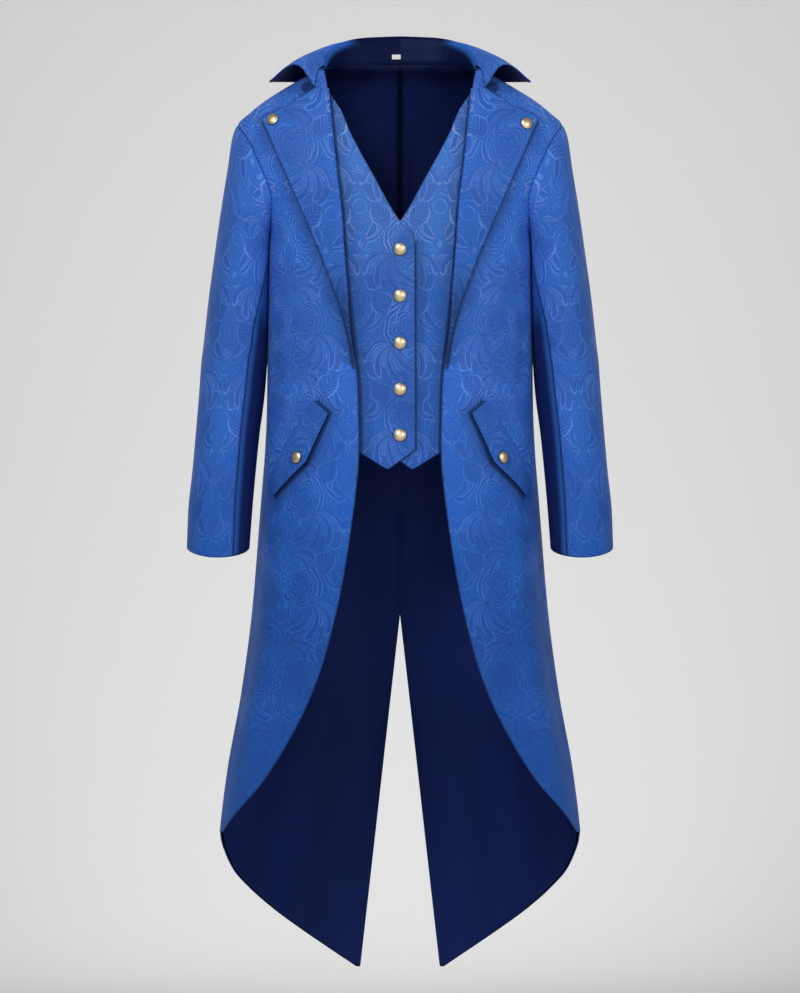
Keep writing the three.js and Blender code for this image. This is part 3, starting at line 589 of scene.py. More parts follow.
# Plain navy suiting: a fine even weave, dull, drawn at 1.2 mm. Its navy is painted shade on the sleeve's
# inner side. Beside the front seam it takes up the topsleeve's blue, which rolls over the seam, and near the
# armhole it keeps the blue, grading softly into the painted shade.
def plainCloth(name, hexColour):
    material, tree, surface = newMaterial(name)
    inMillimetres = clothPlace(tree)
    grain = addNode(tree, "TexNoise", {"Vector": inMillimetres, "Scale": 0.6, "Detail": 3})
    tone = blendColours(tree, grain.outputs["Fac"], shade(hexColour, 0.65), shade(hexColour, 1.35))
    sides = addNode(tree, "UVMap", uv_map="sides")
    apart = addNode(tree, "SeparateXYZ", [sides])
    near = ramp(tree, apart.outputs[0], 0.013, 0.003, smooth=True)
    fromTop = addNode(tree, "SeparateXYZ", [addNode(tree, "UVMap", uv_map="ends")]).outputs[0]
    high = ramp(tree, fromTop, 0.15, 0.09, smooth=True)
    near = calc(tree, "MAXIMUM", near, high)
    # Blue where no shade is painted: beside the front seam and near the armhole
    blue = blendColours(tree, near, tone.outputs[2], shade(palette["cloth"], 0.62))
    # The painted edge shade and cast shadow are a darker navy
    edged = shadeEdges(tree, blue.outputs[2], linear("#0a1436"), 0.7)
    tree.links.new(edged, surface.inputs["Base Color"])
    bump = addNode(tree, "Bump", {"Height": grain.outputs["Fac"], "Strength": 0.4, "Distance": 0.0006})
    tree.links.new(bump.outputs[0], surface.inputs["Normal"])
    setInputs(surface, {"Roughness": 0.7, "Specular IOR Level": 0.2, "Specular Tint": (0.4, 0.55, 1, 1)})
    return material


# Cast brass buttons, pale and polished, with faint swirls left by the buffing wheel, and painted shade round
# the rim
def polishedBrass(name):
    material, tree, surface = newMaterial(name)
    place = addNode(tree, "TexCoord")
    swirl = addNode(tree, "TexNoise", {"Vector": place.outputs["Object"], "Scale": 260, "Detail": 2})
    tone = blendColours(tree, swirl.outputs["Fac"], shade(palette["brass"], 0.92),
                        shade(palette["brass"], 1.08))
    # Painted shade: the brass darkens towards the rim, over the ditch, the rolled rim and the foot
    rim = addNode(tree, "Attribute", attribute_name="rim").outputs["Fac"]
    rim = ramp(tree, rim, 0.86, 0.97)
    tone = blendColours(tree, rim, tone.outputs[2], linear("#6d5228"))
    tree.links.new(tone.outputs[2], surface.inputs["Base Color"])
    bump = addNode(tree, "Bump", {"Height": swirl.outputs["Fac"], "Strength": 0.1, "Distance": 0.0002})
    tree.links.new(bump.outputs[0], surface.inputs["Normal"])
    setInputs(surface, {"Metallic": 1, "Roughness": 0.4})
    return material


# White label tape, with a fine crosswise rib at 0.5 mm
def wovenTape(name):
    material, tree, surface = newMaterial(name)
    place = addNode(tree, "UVMap", uv_map="cloth")
    rib = addNode(tree, "TexWave", {"Vector": place, "Scale": 320}, bands_direction="Y")
    tone = blendColours(tree, rib.outputs["Fac"], shade(palette["label"], 0.85), linear(palette["label"]))
    tree.links.new(tone.outputs[2], surface.inputs["Base Color"])
    surface.inputs["Roughness"].default_value = 0.75
    return material


# The jacquard pieces are copies of one cloth. Their tones, 0.88 to 1.1, are painted light and shade:
# brighter on the collar and fronts, darker on the lapels, flaps and waistcoat
finishes = {
    "front": figuredCloth("frontJacquard", 1.08),
    "back": figuredCloth("backJacquard", 0.98),
    "lapel": figuredCloth("lapelJacquard", 0.88, endShade=0.42),
    "waistcoat": figuredCloth("waistcoatJacquard", 0.92, 1.1, ("sides", "ends"), (1.5, 1.2, 0.98, 1)),
    "sleeve": figuredCloth("sleeveJacquard", 0.97, 1.0, ("sides", "ends")),
    "collar": figuredCloth("collarJacquard", 1.1),
    "flap": figuredCloth("flapJacquard", 0.9, 0.8, ()),
    "inside": satinLining("insideSatin", palette["lining"]),
    # The back lining takes painted shade in its centre pleat, at the tails and under the stand, and painted
    # light inside the coat
    "lining": satinLining("backLiningSatin", palette["lining"], seam=True),
    # The stand's satin is painted darker than the other lining, as shade inside the back of the neck
    "stand": satinLining("standSatin", "#070e36", blueEnds=True),
    "underCollar": satinLining("underCollarSatin", "#0e2058", 0.7),
    "under": plainCloth("undersleeveSuitingPaintedShade", palette["undersleeve"]),
    "brass": polishedBrass("brassButton"),
    "tape": wovenTape("labelTape"),
}
print("materials made:", len(finishes))


# Makes a grid, moves its points onto a surface and gives it its thickness inwards. place(s, t) is the outer
# face in mm, pattern(s, t) the cloth's own measure in mm, and cover(s, t) how far a spot is from the edge
# of a piece that lies over it.
def laySheet(name, node, place, columns, rows, thick, materials, pattern, slot, held="hung", rests=(),
             side=1, onIt=(), cut=True, cover=None, pressed=0.4):
    sheet = bmesh.new()
    bmesh.ops.create_grid(sheet, x_segments=columns, y_segments=rows, size=1)
    fromCover = sheet.verts.layers.float.new("fromCover")
    spots = {v: ((v.co.x + 1) / 2, (v.co.y + 1) / 2) for v in sheet.verts}
    grid = np.zeros((rows + 1, columns + 1, 3))
    for v, (s, t) in spots.items():
        point = place(s, t)
        v.co = Vector((point.x * side, point.y, point.z)) / 1000
        grid[round(t * rows), round(s * columns)] = v.co
        # fromCover, the distance from a covering edge, is where the finishes paint that piece's shadow
        v[fromCover] = cover(s, t) / 1000 if cover else 1
    across = np.linalg.norm(np.diff(grid, axis=1), axis=2)
    along = np.linalg.norm(np.diff(grid, axis=0), axis=2)
    fromSide = np.concatenate([np.zeros((rows + 1, 1)), np.cumsum(across, axis=1)], axis=1)
    fromEnd = np.concatenate([np.zeros((1, columns + 1)), np.cumsum(along, axis=0)], axis=0)
    cloth, sides, ends = (sheet.loops.layers.uv.new(layer) for layer in ("cloth", "sides", "ends"))
    for face in sheet.faces:
        face.smooth = True
        for loop in face.loops:
            s, t = spots[loop.vert]
            i, j = round(t * rows), round(s * columns)
            u, v = pattern(s, t)
            loop[cloth].uv = (u / 1000, v / 1000)
            loop[sides].uv = (fromSide[i, j], fromSide[i, -1] - fromSide[i, j])
            loop[ends].uv = (fromEnd[i, j], fromEnd[-1, j] - fromEnd[i, j])
    if side < 0:
        bmesh.ops.reverse_faces(sheet, faces=sheet.faces)
    area = sum(face.calc_area() for face in sheet.faces)
    mesh = bpy.data.meshes.new(name)
    sheet.to_mesh(mesh)
    sheet.free()
    piece = bpy.data.objects.new(name, mesh)
    scene.collection.objects.link(piece)
    for material in materials:
        mesh.materials.append(material)
    wall = piece.modifiers.new("wall", "SOLIDIFY")
    wall.thickness = thick / 1000
    wall.offset = -1
    wall.material_offset = len(materials) - 1
    edge = piece.modifiers.new("pressedEdge", "BEVEL")
    edge.width = pressed / 1000
    edge.segments = 2
    edge.limit_method = "ANGLE"
    edge.angle_limit = math.radians(60)
    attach(piece, "root")
    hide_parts(node)
    return piece


sideNames = (("left", 1), ("right", -1))


# Coat body, and the pocket flap that lies on it
flap = {"x": 120.7, "z": -449, "slope": 51.4, "length": 148, "ends": 29, "point": 46, "lift": 4,
        "cloth": 1.8}
body = {
    "cloth": 1.6,          # mm
    "lining": 1.0,
    "seam": 0.03,          # half of the gap at a seam
    "columns": 56,
    "rows": 150,
}
quarter = math.pi / 2
neckPoint, shoulderPoint, armpit, sideHem, ventTop, hemTip = 20, -58, -215, -1063, -753, -1256


def flapDepth(share):
    return blend(flap["ends"], flap["point"], 1 - abs(2 * share - 1))


def sideCut(z, cut):
    return 0 if z <= armpit or z >= shoulderPoint else math.radians(cut(z))


def frontSide(z):
    return quarter - sideCut(z, cutFrontAt) - body["seam"] / roundStep(quarter, z)


def backSide(z):
    return quarter + sideCut(z, cutBackAt) + body["seam"] / roundStep(quarter, z)


def coatEdge(z):
    behindRoll = 3 * ease(z, -400, -360) if z < -8.5 else 0
    return angleInFront(frontEdgeAt(z) + behindRoll, z)


# Spreads rows over stretches, so that small shapes get close rows
def levelsBetween(stops):
    out = [stops[0][0]]
    for to, rows in stops[1:]:
        start = out[-1]
        out += [blend(start, to, (i + 1) / rows) for i in range(rows)]
    return out


def rowLevel(levels, t):
    place = t * (len(levels) - 1)
    i = min(int(place), len(levels) - 2)
    return blend(levels[i], levels[i + 1], place - i)


# The cloth is thicker for a few millimetres at a turned edge
def turnedEdge(distance, lift=0.5, reach=5):
    return lift * (1 - ease(distance, 0, reach))


# How far a spot of the coat front lies outside the lapel and below the pocket flap, in mm
def fromLapel(angle, z):
    past = max(-398 - z, z + 30, 0)
    return (bodyPoint(angle, z).x - lapelEdgeAt(z)) * 0.87 + 20 * past


# The recess below the collar's front end, where its wing keeps the light off the shoulder; shade is painted
# there
def underCollar(angle, z):
    spot = bodyPoint(angle, z)
    return math.hypot((spot.x - 130) / 1.2, z + 5) - 6 if z > -45 else 1000


def fromFlap(angle, z):
    start = angleInFront(flap["x"], z)
    across = (angle - start) * roundStep((angle + start) / 2, z)
    slope = math.radians(flap["slope"])
    along = (flap["z"] - z) * math.sin(slope) + across * math.cos(slope)
    down = (flap["z"] - z) * math.cos(slope) - across * math.sin(slope)
    beyond = max(-along, along - flap["length"], -20 * down)
    below = (down - flapDepth(min(max(along / flap["length"], 0), 1))) * 0.97
    return max(beyond, below) - 2.5


def coatFront(label, side):
    levels = levelsBetween([(-1060, 0), (-1030, 8), (-900, 24), (-575, 44), (armpit, 46), (-190, 6),
                            (-62, 26), (shoulderPoint, 2), (neckPoint, 16)])

    def spot(s, t):
        z = rowLevel(levels, t)
        return blend(coatEdge(z), frontSide(z), s), z

    def place(s, t):
        angle, z = spot(s, t)
        fromEdge = (angle - coatEdge(z)) * 150
        return bodyOffset(angle, z, body["cloth"] + turnedEdge(fromEdge), side)

    def pattern(s, t):
        angle, z = spot(s, t)
        return girthAt(angle, z) + 22, z

    # Painted shadow on the coat front: beside the lapel's free edge, below the pocket flap and in the recess
    # under the collar's wing
    def cover(s, t):
        angle, z = spot(s, t)
        return min(fromLapel(angle, z), fromFlap(angle, z), underCollar(angle, z))

    return laySheet("coatFront_" + label, "coat_front_" + label, place, body["columns"], len(levels) - 1,
                    body["cloth"], [finishes["front"], finishes["inside"]], pattern, "jacquard", side=side,
                    cover=cover)


def ventAngle(z):
    opening = 57 * min(max((ventTop - z) / (ventTop - hemTip), 0), 1)
    return angleBehind(body["seam"] + opening, z)


def backEdge(z):
    if z < sideHem:
        return angleBehind(tailHemAt(z), z)
    if z > neckPoint + 3:
        return angleBehind(110 * max(1 - (z - 23) / 11, 0) ** 0.4, z)
    return backSide(z)


backStops = [(-1200, 16), (-1086, 26), (sideHem, 10), (ventTop, 38), (armpit, 62), (-190, 6), (-62, 26),
             (shoulderPoint, 2), (neckPoint, 14)]


def coatBack(label, side):
    levels = levelsBetween([(hemTip + 2, 0)] + backStops + [(33, 5)])

    def spot(s, t):
        z = rowLevel(levels, t)
        return blend(backEdge(z), ventAngle(z), s), z

    def place(s, t):
        angle, z = spot(s, t)
        return bodyOffset(angle, z, body["cloth"], side)

    def pattern(s, t):
        angle, z = spot(s, t)
        return girthAt(math.pi, z) - girthAt(angle, z), z

    return laySheet("coatBack_" + label, "coat_back_" + label, place, body["columns"], len(levels) - 1,
                    body["cloth"], [finishes["back"], finishes["inside"]], pattern, "jacquard", side=side)


def backLining(label, side):
    levels = levelsBetween([(hemTip + 5, 0)] + backStops[:-1] + [(neckPoint + 1.5, 14), (29, 5)])
    setBack = 0.7

    def spot(s, t):
        z = rowLevel(levels, t)
        low = backEdge(z) + (2 * setBack / roundStep(quarter, z) if z < sideHem else 0)
        high = ventAngle(z) - (setBack / roundStep(math.pi, z) if z < ventTop else 0)
        return blend(low, high, s), z

    # A small pleat lies down the centre back, and soft folds hang from the neck
    def pleat(angle, z):
        fromCentre = (math.pi - angle) * 100
        ridge = 1.6 * math.exp(-((fromCentre - 3) / 3.5) ** 2) * ease(z, -330, -150)
        slack = 1.4 * math.cos(fromCentre / 9.5) * ease(z, -260, -60) * ease(fromCentre, 8, 30)
        return ridge + slack + 1.5

    def place(s, t):
        angle, z = spot(s, t)
        return bodyOffset(angle, z, -1.5 - pleat(angle, z), side)

    def pattern(s, t):
        angle, z = spot(s, t)
        return girthAt(angle, z), z

    # The distance from the centre back, above the waist, where shade is painted in the pleat's fold
    def cover(s, t):
        angle, z = spot(s, t)
        return (math.pi - angle) * backAt(z) + 1000 * ease(-z, 380, 470)

    return laySheet("backLining_" + label, "back_lining_" + label, place, 48, len(levels) - 1,
                    body["lining"], [finishes["lining"]], pattern, "satin", side=side,
                    rests=["coatBack_" + label], cover=cover, pressed=0.1)


for label, side in sideNames:
    coatFront(label, side)
    coatBack(label, side)
    backLining(label, side)
print("coat body made")


# Waistcoat front
waistcoat = {"cloth": 1.4, "overlapDrop": 2.2, "below": 0.7, "columns": 34}


def waistcoatLift(across, under):
    sunk = ease(-across, -62, -24) if under else 0
    return -waistcoat["below"] - sunk * waistcoat["overlapDrop"]


def waistcoatFront(label, side):
    levels = levelsBetween([(-545.5, 0), (-535, 4), (-523, 4), (-517, 3), (-511, 2), (-505, 2), (-217, 50),
                            (-193, 5), (-68, 22), (-11.4, 10)])
    under = side > 0

    def spot(s, t):
        z = rowLevel(levels, t)
        return blend(angleInFront(waistInnerAt(z), z), angleInFront(waistOuterAt(z), z), s), z

    def place(s, t):
        angle, z = spot(s, t)
        across = bodyPoint(angle, z, side).x
        edge = turnedEdge((angle - spot(0, t)[0]) * 120, 0.35)
        return bodyOffset(angle, z, waistcoatLift(across, under) + edge * (0 if under else 1), side)

    def pattern(s, t):
        angle, z = spot(s, t)
        return girthAt(angle, z) + 40, z + 12

    # Painted shadow on the waistcoat beside the coat's front edge, and on the under front beside the closing
    # edge
    def cover(s, t):
        angle, z = spot(s, t)
        across = bodyPoint(angle, z, side).x
        fromEdge = (frontEdgeAt(z) - across) * 0.9 - (0.6 if under else 2.2)
        if not under or z > -217:
            return fromEdge
        fromClosing = across + (1000 if z < -545 else waistInnerAt(z))
        return min(fromEdge, fromClosing * 1.2)

    return laySheet("waistcoatFront_" + label, "waistcoat_front_" + label, place, waistcoat["columns"],
                    len(levels) - 1, waistcoat["cloth"], [finishes["waistcoat"], finishes["inside"]],
                    pattern, "jacquard", side=side, rests=["coatFront_" + label], cover=cover)


for label, side in sideNames:
    waistcoatFront(label, side)
print("waistcoat made")


# Lapels
lapelShape = {
    "cloth": 2.0,
    "rollWidth": 30,
    "profile": [(0, 2.4, 1.7), (0.1, 0.4, 3.6), (0.2, 2.2, 6.4), (0.32, 11, 6.2), (0.55, 30, 4.4),
                (1, 60, 3.2)],
    "columns": 34,
}
lapelAcrossAt = tableCurve(lapelShape["profile"], 1)
lapelOutAt = tableCurve(lapelShape["profile"], 2)


def lapelPoint(s, z, side=1):
    roll = frontEdgeAt(z)
    width = max(lapelEdgeAt(z) - roll, 1.6)
    small = min(1, width / lapelShape["rollWidth"] / 1.6)
    across = lapelAcrossAt(s) * small
    if s >= 0.55:
        across = blend(lapelShape["rollWidth"] * small, width, (s - 0.55) / 0.45)
    out = blend(3.2, lapelOutAt(s), max(small, 0.35))
    return bodyOffset(angleInFront(roll + across, z), z, out, side)


def surfaceNormal(point, s, t, stepS, stepT):
    across = point(s + stepS, t) - point(s - stepS, t)
    up = point(s, t + stepT) - point(s, t - stepT)
    return across.cross(up).normalized()


# The same surface on the wearer's left or right
def onSide(point, side):
    def spot(a, b):
        return point(a, b, side)

    return spot


def lapel(label, side):
    levels = levelsBetween([(-403, 0), (-334, 12), (-68, 46), (-52, 5), (-48, 2), (-8.5, 12)])
    stops = [0, 0.05, 0.1, 0.15, 0.2, 0.26, 0.32, 0.38, 0.44, 0.5, 0.55] + [
        0.55 + 0.45 * (i + 1) / 20 for i in range(20)
    ]
    columns = len(stops) - 1
    surface = onSide(lapelPoint, side)

    def place(s, t):
        z = rowLevel(levels, t)
        s = rowLevel(stops, s)
        normal = surfaceNormal(surface, min(max(s, 0.01), 0.99), min(z, -9.2), 0.01, 0.6)
        flat = bodyNormal(angleInFront(frontEdgeAt(z), z), z, side)
        normal = flat.lerp(normal, ease(lapelEdgeAt(z) - frontEdgeAt(z), 3, 24)).normalized()
        edge = turnedEdge((1 - s) * 110, 0.5, 7)
        tuck = -1.3 * math.exp(-((frontEdgeAt(z) + 62 - surface(s, z).x) / 6) ** 2) * ease(z, -66, -16)
        return surface(s, z) + normal * (lapelShape["cloth"] + edge + tuck)

    def pattern(s, t):
        z = rowLevel(levels, t)
        point = lapelPoint(rowLevel(stops, s), z)
        lean = math.radians(14)
        return (point.x * math.cos(lean) + z * math.sin(lean) * 0.6 + 30,
                z * math.cos(lean) - point.x * math.sin(lean) + 40)

    return laySheet("lapel_" + label + "_turned", "lapel_" + label, place, columns, len(levels) - 1,
                    lapelShape["cloth"], [finishes["lapel"]], pattern, "jacquard", held="folded",
                    rests=["coatFront_" + label], side=side)


for label, side in sideNames:
    lapel(label, side)
print("lapels made")


# Pocket flaps
def flapPoint(along, down, side=1):
    slope = math.radians(flap["slope"])
    z = flap["z"] - along * math.sin(slope) - down * math.cos(slope)
    distance = along * math.cos(slope) - down * math.sin(slope)
    angle = angleInFront(flap["x"], z)
    for _ in range(12):
        angle += distance / 12 / roundStep(angle, z)
    reach = flap["lift"] * max(down / flap["point"], 0) ** 1.5
    return bodyOffset(angle, z, body["cloth"] + 0.8 + reach, side)


def pocketFlap(label, side):
    def surface(s, t):
        return flapPoint(s * flap["length"], t * flapDepth(min(max(s, 0), 1)), side)

    def place(s, t):
        down = 1 - t
        normal = surfaceNormal(surface, min(max(s, 0.02), 0.98), min(max(down, 0.02), 0.98), 0.01, 0.02)
        fromEdge = min(s * 148, (1 - s) * 148, (1 - down) * 40)
        return surface(s, down) - normal * (flap["cloth"] + turnedEdge(fromEdge, 0.6, 6))

    def pattern(s, t):
        return s * flap["length"] + 20, (1 - t) * flapDepth(s) + 30

    return laySheet("pocketFlap_" + label + "_sewn", "pocket_flap_" + label, place, 44, 16, flap["cloth"],
                    [finishes["flap"]], pattern, "jacquard", held="laid",
                    rests=["coatFront_" + label], side=side)


for label, side in sideNames:
    pocketFlap(label, side)
print("pocket flaps made")


# Sleeves
sleeve = {"cloth": 1.6, "top": -235, "cuff": -656, "slant": 15, "hindSeam": 248, "headReach": 45,
          "rows": 104}


def sleeveRing(turn, z):
    inner, outer, middle = armInnerAt(z), armOuterAt(z), armMiddleAt(z)
    slant = sleeve["slant"] * ease(-z, -sleeve["cuff"] - 150, -sleeve["cuff"])
    y = middle - armDepthAt(z) * math.sin(turn)
    free = (inner + outer) / 2 + (outer - inner) / 2 * math.cos(turn)
    depth = frontAt(z) if y < 0 else backAt(z)
    pressed = halfAt(z) * math.sqrt(max(0, 1 - (y / depth) ** 2)) + 3.6
    x = 3 * math.log(math.exp((free - 200) / 3) + math.exp((pressed - 200) / 3)) + 200
    return Vector((x, y, z - slant * math.sin(turn)))


def armholeSpot(turn):
    z = blend(armpit, shoulderPoint, (1 + math.cos(turn)) / 2)
    inFront = math.sin(turn) > 0
    cut = math.radians((cutFrontAt if inFront else cutBackAt)(z))
    return quarter + (-cut if inFront else cut), z


def hermitePoint(a, slopeA, b, slopeB, t):
    return (
        a * (2 * t**3 - 3 * t**2 + 1)
        + slopeA * (t**3 - 2 * t**2 + t)
        + b * (3 * t**2 - 2 * t**3)
        + slopeB * (t**3 - t**2)
    )


# Step 0 is the armhole seam, 1 the ring below it, and beyond 1 it runs down to the cuff
def sleevePoint(turn, step, side=1):
    if step > 1:
        return sleeveRing(turn, blend(sleeve["top"], sleeve["cuff"], step - 1))
    angle, z = armholeSpot(turn)
    before, after = armholeSpot(turn - 0.03), armholeSpot(turn + 0.03)
    along = (bodyPoint(*after, side) - bodyPoint(*before, side)).normalized()
    normal = bodyNormal(angle, z, side)
    away = normal.cross(along).normalized()
    low = ease(-math.cos(turn), -0.25, 0.85)
    swing = math.radians(blend(20, 150, low))
    start = bodyPoint(angle, z, side) + normal * blend(0.3, 2.0, low) + away * 0.5
    leave = away * math.cos(swing) + normal * math.sin(swing)
    end = sleeveRing(turn, sleeve["top"])
    chord = (end - start).length
    arrive = (sleeveRing(turn, sleeve["top"] - 2) - end) * (0.83 * chord / 2)
    return hermitePoint(start, leave * min(sleeve["headReach"], 0.45 * chord), end, arrive, max(step, 0))


def sleevePiece(name, node, side, low, high, columns, materials, slot):
    steps = [i / 34 for i in range(34)] + [1 + i / 70 for i in range(71)]

    def seamTurn(step):
        return armSeamAt(blend(sleeve["top"], sleeve["cuff"], min(max(step - 1, 0), 1)))

    def place(s, t):
        step = rowLevel(steps, t)
        turn = math.radians(blend(low(seamTurn(step)), high(seamTurn(step)), s))
        sample = min(max(step, 0.02), 1.98)
        down = sleevePoint(turn, sample + 0.015, side) - sleevePoint(turn, sample - 0.015, side)
        around = sleevePoint(turn + 0.03, step, side) - sleevePoint(turn - 0.03, step, side)
        normal = around.cross(down).normalized()
        point = sleevePoint(turn, step, side)
        quiet = ease(step, 0.15, 0.6) * (1 - ease(step, 1.85, 2))
        bodyClear = ease(math.cos(turn), -0.95, -0.3)
        creased = creaseHeight(sleeveCreases, math.degrees(turn) % 360, point.z, 50, side)
        creased = creased * quiet * bodyClear
        ditch = -1.0 * (1 - ease(step, 0, 0.03))
        fullness = 2.2 * ease(math.cos(turn), 0, 0.8) * math.exp(-(((step - 0.2) / 0.16) ** 2))
        return point + normal * (sleeve["cloth"] + creased + ditch + fullness)

    def pattern(s, t):
        step = rowLevel(steps, t)
        turn = blend(low(seamTurn(step)), high(seamTurn(step)), s)
        down = sleevePoint(math.radians(60), step).z
        return turn / 180 * math.pi * 52 + 30, down + 55

    return laySheet(name, node, place, columns, len(steps) - 1, sleeve["cloth"], materials, pattern, slot,
                    side=side)


for label, side in sideNames:
    sleevePiece("topsleeve_" + label + "_cloth", "topsleeve_" + label, side,
                lambda seam: sleeve["hindSeam"] - 360 + 0.2, lambda seam: seam - 0.2, 64,
                [finishes["sleeve"], finishes["inside"]], "jacquard")
    sleevePiece("undersleeve_" + label + "_cloth", "undersleeve_" + label, side,
                lambda seam: seam + 0.2, lambda seam: sleeve["hindSeam"] - 0.2, 32,
                [finishes["under"], finishes["inside"]], "undersleeve")
print("sleeves made")


# Collar
# liningEnd is the share of the half collar that the stand lining covers
collar = {"upper": 1.2, "under": 1.0, "gap": 0.2, "standReach": 0.68, "standGap": 1.2,
          "liningEnd": 0.6653}


# v 0 is the neck seam, 1 the fold and 2 the free edge. u runs from -1 to 1 round the neck.
def collarPoint(u, v):
    end = min(abs(u), 1)
    values = [curve(end) for curve in collarAt]
    root, fold, edge = (Vector(values[i : i + 3]) for i in (0, 3, 6))
    outward = edge - root
    outward.z = 0
    outward = outward.normalized() * values[9]
    if v < 1:
        point = hermitePoint(root, fold - root, fold, outward, max(v, 0))
    else:
        point = hermitePoint(fold, outward, edge, edge - fold, min(v, 2) - 1)
    return Vector((-point.x if u < 0 else point.x, point.y, point.z))


def collarNormal(u, v):
    return surfaceNormal(collarPoint, min(max(u, -0.99), 0.99), min(max(v, 0.02), 1.98), 0.006, 0.015)


def collarPiece(name, node, reach, rows, height, thick, materials, slot, flip, **more):
    def spot(s, t):
        return blend(-reach, reach, 1 - s if flip else s), rows(t, s)

    def place(s, t):
        u, v = spot(s, t)
        below = Vector((0, 0, min(v, 0) * 33))
        return collarPoint(u, v) + collarNormal(u, v) * height + below

    def pattern(s, t):
        u, v = spot(s, t)
        return u * 190 + 44, v * 42 + 60

    return laySheet(name, node, place, 84, 26, thick, materials, pattern, slot, **more)


def fullRow(t, s):
    return 0.005 + t * 1.99


def crescentRow(t, s):
    across = abs(2 * s - 1) * collar["liningEnd"]
    top = max(0.93 * (1 - (across / collar["standReach"]) ** 5), 0.03)
    return blend(-0.16, 0.02 + top, t)


collarPiece("collarUpper_fold", "collar_upper", 0.998, fullRow, collar["gap"] + collar["upper"],
            collar["upper"], [finishes["collar"]], "jacquard", False, held="folded")
collarPiece("collarUnder_fold", "collar_under", 0.99, fullRow, -collar["gap"] - 0.2 - collar["under"],
            collar["under"], [finishes["underCollar"]], "satin", True, held="folded",
            rests=["collarUpper_fold"])
label = {"wide": 13, "high": 7.4, "x": -5, "low": 0.03, "thick": 0.5}


def labelPlace(s, t):
    u = (label["x"] + (s - 0.5) * label["wide"]) / 208
    v = label["low"] + t * label["high"] / 40
    return collarPoint(u, v) + collarNormal(u, v) * (collar["gap"] + collar["upper"] + 3.1)


tape = laySheet("label_blank", "label", labelPlace, 10, 8, label["thick"], [finishes["tape"]],
                lambda s, t: (s * label["wide"], t * label["high"]), "label", cut=False)
collarPiece("standLining_crescent", "collar_stand_lining", collar["liningEnd"], crescentRow,
            collar["gap"] + collar["upper"] + collar["standGap"] + 1.0, 1.0, [finishes["stand"]], "satin",
            False, held="laid", rests=["collarUpper_fold"], onIt=[tape])
print("collar made")


# Buttons
button = {"radius": 9, "height": 4.8, "around": 40}


# A domed button turned about its own axis: foot, rolled rim, a ditch, then the dome
def turnedButton(name, node, seat, normal):
    r, h = button["radius"], button["height"]
    profile = [(0, 0), (0.78 * r, 0), (0.95 * r, 0.1 * h), (r, 0.26 * h), (0.985 * r, 0.4 * h),
               (0.94 * r, 0.47 * h), (0.9 * r, 0.46 * h), (0.87 * r, 0.5 * h), (0.74 * r, 0.72 * h),
               (0.52 * r, 0.88 * h), (0.28 * r, 0.97 * h), (0, h)]
    shape = bmesh.new()
    points = [shape.verts.new((x / 1000, 0, z / 1000)) for x, z in profile]
    edges = [shape.edges.new(pair) for pair in zip(points, points[1:])]
    bmesh.ops.spin(shape, geom=points + edges, cent=(0, 0, 0), axis=(0, 0, 1), angle=2 * math.pi,
                   steps=button["around"], use_merge=True)
    bmesh.ops.remove_doubles(shape, verts=shape.verts, dist=1e-6)
    bmesh.ops.recalc_face_normals(shape, faces=shape.faces)
    rim = shape.verts.layers.float.new("rim")
    for v in shape.verts:
        v[rim] = math.hypot(v.co.x, v.co.y) * 1000 / r
    turn = Vector((0, 0, 1)).rotation_difference(normal).to_matrix()
    bmesh.ops.transform(shape, matrix=turn.to_4x4(), verts=shape.verts)
    bmesh.ops.translate(shape, vec=seat / 1000, verts=shape.verts)
    for face in shape.faces:
        face.smooth = True
    mesh = bpy.data.meshes.new(name)
    shape.to_mesh(mesh)
    shape.free()
    piece = bpy.data.objects.new(name, mesh)
    scene.collection.objects.link(piece)
    mesh.materials.append(finishes["brass"])
    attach(piece, "root")
    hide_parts(node)
    return piece


def mirrored(vector, side):
    return Vector((vector.x * side, vector.y, vector.z))


waistcoatButtonLevels = (-234, -300, -367, -432.5, -497.5)
lapelButton = {"share": 0.9, "left": -57, "right": -52}
flapButton = {"along": 79, "down": 30}
for i, z in enumerate(waistcoatButtonLevels):
    lift = waistcoatLift(0, False) + 0.3
    turnedButton("waistcoatButton_%d" % (i + 1), "button_waistcoat_%d" % (i + 1),
                 bodyOffset(0, z, lift, -1), bodyNormal(0, z, -1))
for name, side in sideNames:
    surface = onSide(lapelPoint, side)
    level = lapelButton[name]
    out = surfaceNormal(surface, lapelButton["share"], level, 0.02, 2)
    seat = surface(lapelButton["share"], level) + out * (lapelShape["cloth"] + 0.3)
    turnedButton("lapelButton_" + name, "button_lapel_" + name, mirrored(seat, side), mirrored(out, side))
    surface = onSide(flapPoint, side)
    out = -surfaceNormal(surface, flapButton["along"], flapButton["down"], 0.5, 0.5)
    seat = surface(flapButton["along"], flapButton["down"]) + out * (flap["cloth"] + 0.2)
    turnedButton("pocketButton_" + name, "button_pocket_" + name, mirrored(seat, side), mirrored(out, side))
print("buttons made")


# Studio
studio = {
    "pixel": 0.00142,        # metres of the coat for each pixel of the picture
    "middle": (0, -0.5843),  # x and height at the picture's centre
    "distance": 45,
    "floor": -1.42,
}


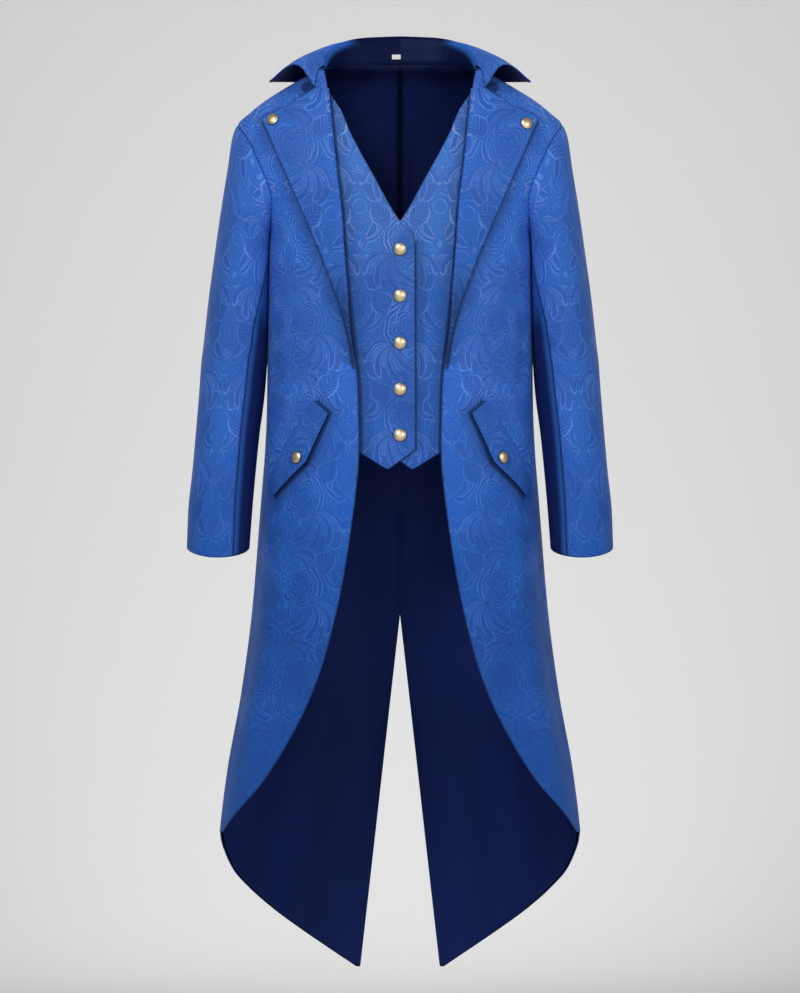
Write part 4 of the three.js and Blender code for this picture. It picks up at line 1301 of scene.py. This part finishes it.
def makeStudio():
    sweep = bmesh.new()
    profile = [(-6.0, 0), (1.0, 0), (1.7, 0.1), (2.3, 0.4), (2.7, 0.95), (2.9, 1.7), (2.95, 6)]
    points = [sweep.verts.new((-7, y, studio["floor"] + z)) for y, z in profile]
    edges = [sweep.edges.new(pair) for pair in zip(points, points[1:])]
    moved = bmesh.ops.extrude_edge_only(sweep, edges=edges)
    bmesh.ops.translate(sweep, vec=(14, 0, 0),
                        verts=[v for v in moved["geom"] if isinstance(v, bmesh.types.BMVert)])
    sweep.normal_update()
    if min(sweep.faces, key=lambda face: face.calc_center_median().z).normal.z < 0:
        bmesh.ops.reverse_faces(sweep, faces=sweep.faces)
    for face in sweep.faces:
        face.smooth = True
    mesh = bpy.data.meshes.new("paperSweep")
    sweep.to_mesh(mesh)
    sweep.free()
    paper = bpy.data.objects.new("paperSweep", mesh)
    scene.collection.objects.link(paper)
    smooth = paper.modifiers.new("smooth", "SUBSURF")
    smooth.levels = smooth.render_levels = 2
    material, tree, surface = newMaterial("studioPaper")
    setInputs(surface, {"Base Color": linear(palette["paper"]), "Roughness": 0.9})
    # Seen from behind, the paper is left out, so that it doesn't hide the coat's back
    behind = addNode(tree, "NewGeometry").outputs["Backfacing"]
    gone = addNode(tree, "BsdfTransparent")
    mixed = addNode(tree, "MixShader", [behind, surface, gone])
    tree.links.new(mixed.outputs[0], tree.nodes["Material Output"].inputs["Surface"])
    mesh.materials.append(material)


def areaLight(name, place, target, size, power):
    light = bpy.data.lights.new(name, "AREA")
    light.shape = "SQUARE"
    light.size = size
    light.energy = power
    lamp = bpy.data.objects.new(name, light)
    scene.collection.objects.link(lamp)
    lamp.location = place
    lamp.rotation_euler = (Vector(target) - Vector(place)).to_track_quat("-Z", "Y").to_euler()


def makeCamera():
    camera = bpy.data.cameras.new("photoCamera")
    camera.sensor_width = 36
    camera.clip_end = 300
    height = 993 * studio["pixel"]
    camera.lens = camera.sensor_width * studio["distance"] / height
    view = bpy.data.objects.new("photoCamera", camera)
    scene.collection.objects.link(view)
    x, z = studio["middle"]
    view.location = (x, -studio["distance"], z)
    view.rotation_euler = (math.pi / 2, 0, 0)
    scene.camera = view


makeStudio()
areaLight("key", (-1.6, -3.4, 2.2), (0, 0, -0.5), 1.3, 82)
areaLight("fill", (2.6, -3.4, 0.9), (0, 0, -0.6), 2.4, 52)
areaLight("front", (0, -5.5, -0.2), (0, 0, -0.6), 3.0, 26)
areaLight("backdrop", (0, 1.4, -0.25), (0, 2.9, -0.3), 1.6, 13)
world = bpy.data.worlds.new("softWorld")
world.use_nodes = True
world.node_tree.nodes["Background"].inputs["Color"].default_value = (0.8, 0.8, 0.8, 1)
world.node_tree.nodes["Background"].inputs["Strength"].default_value = 0.252
scene.world = world
scene.view_settings.view_transform = "Standard"
makeCamera()
print("studio made")
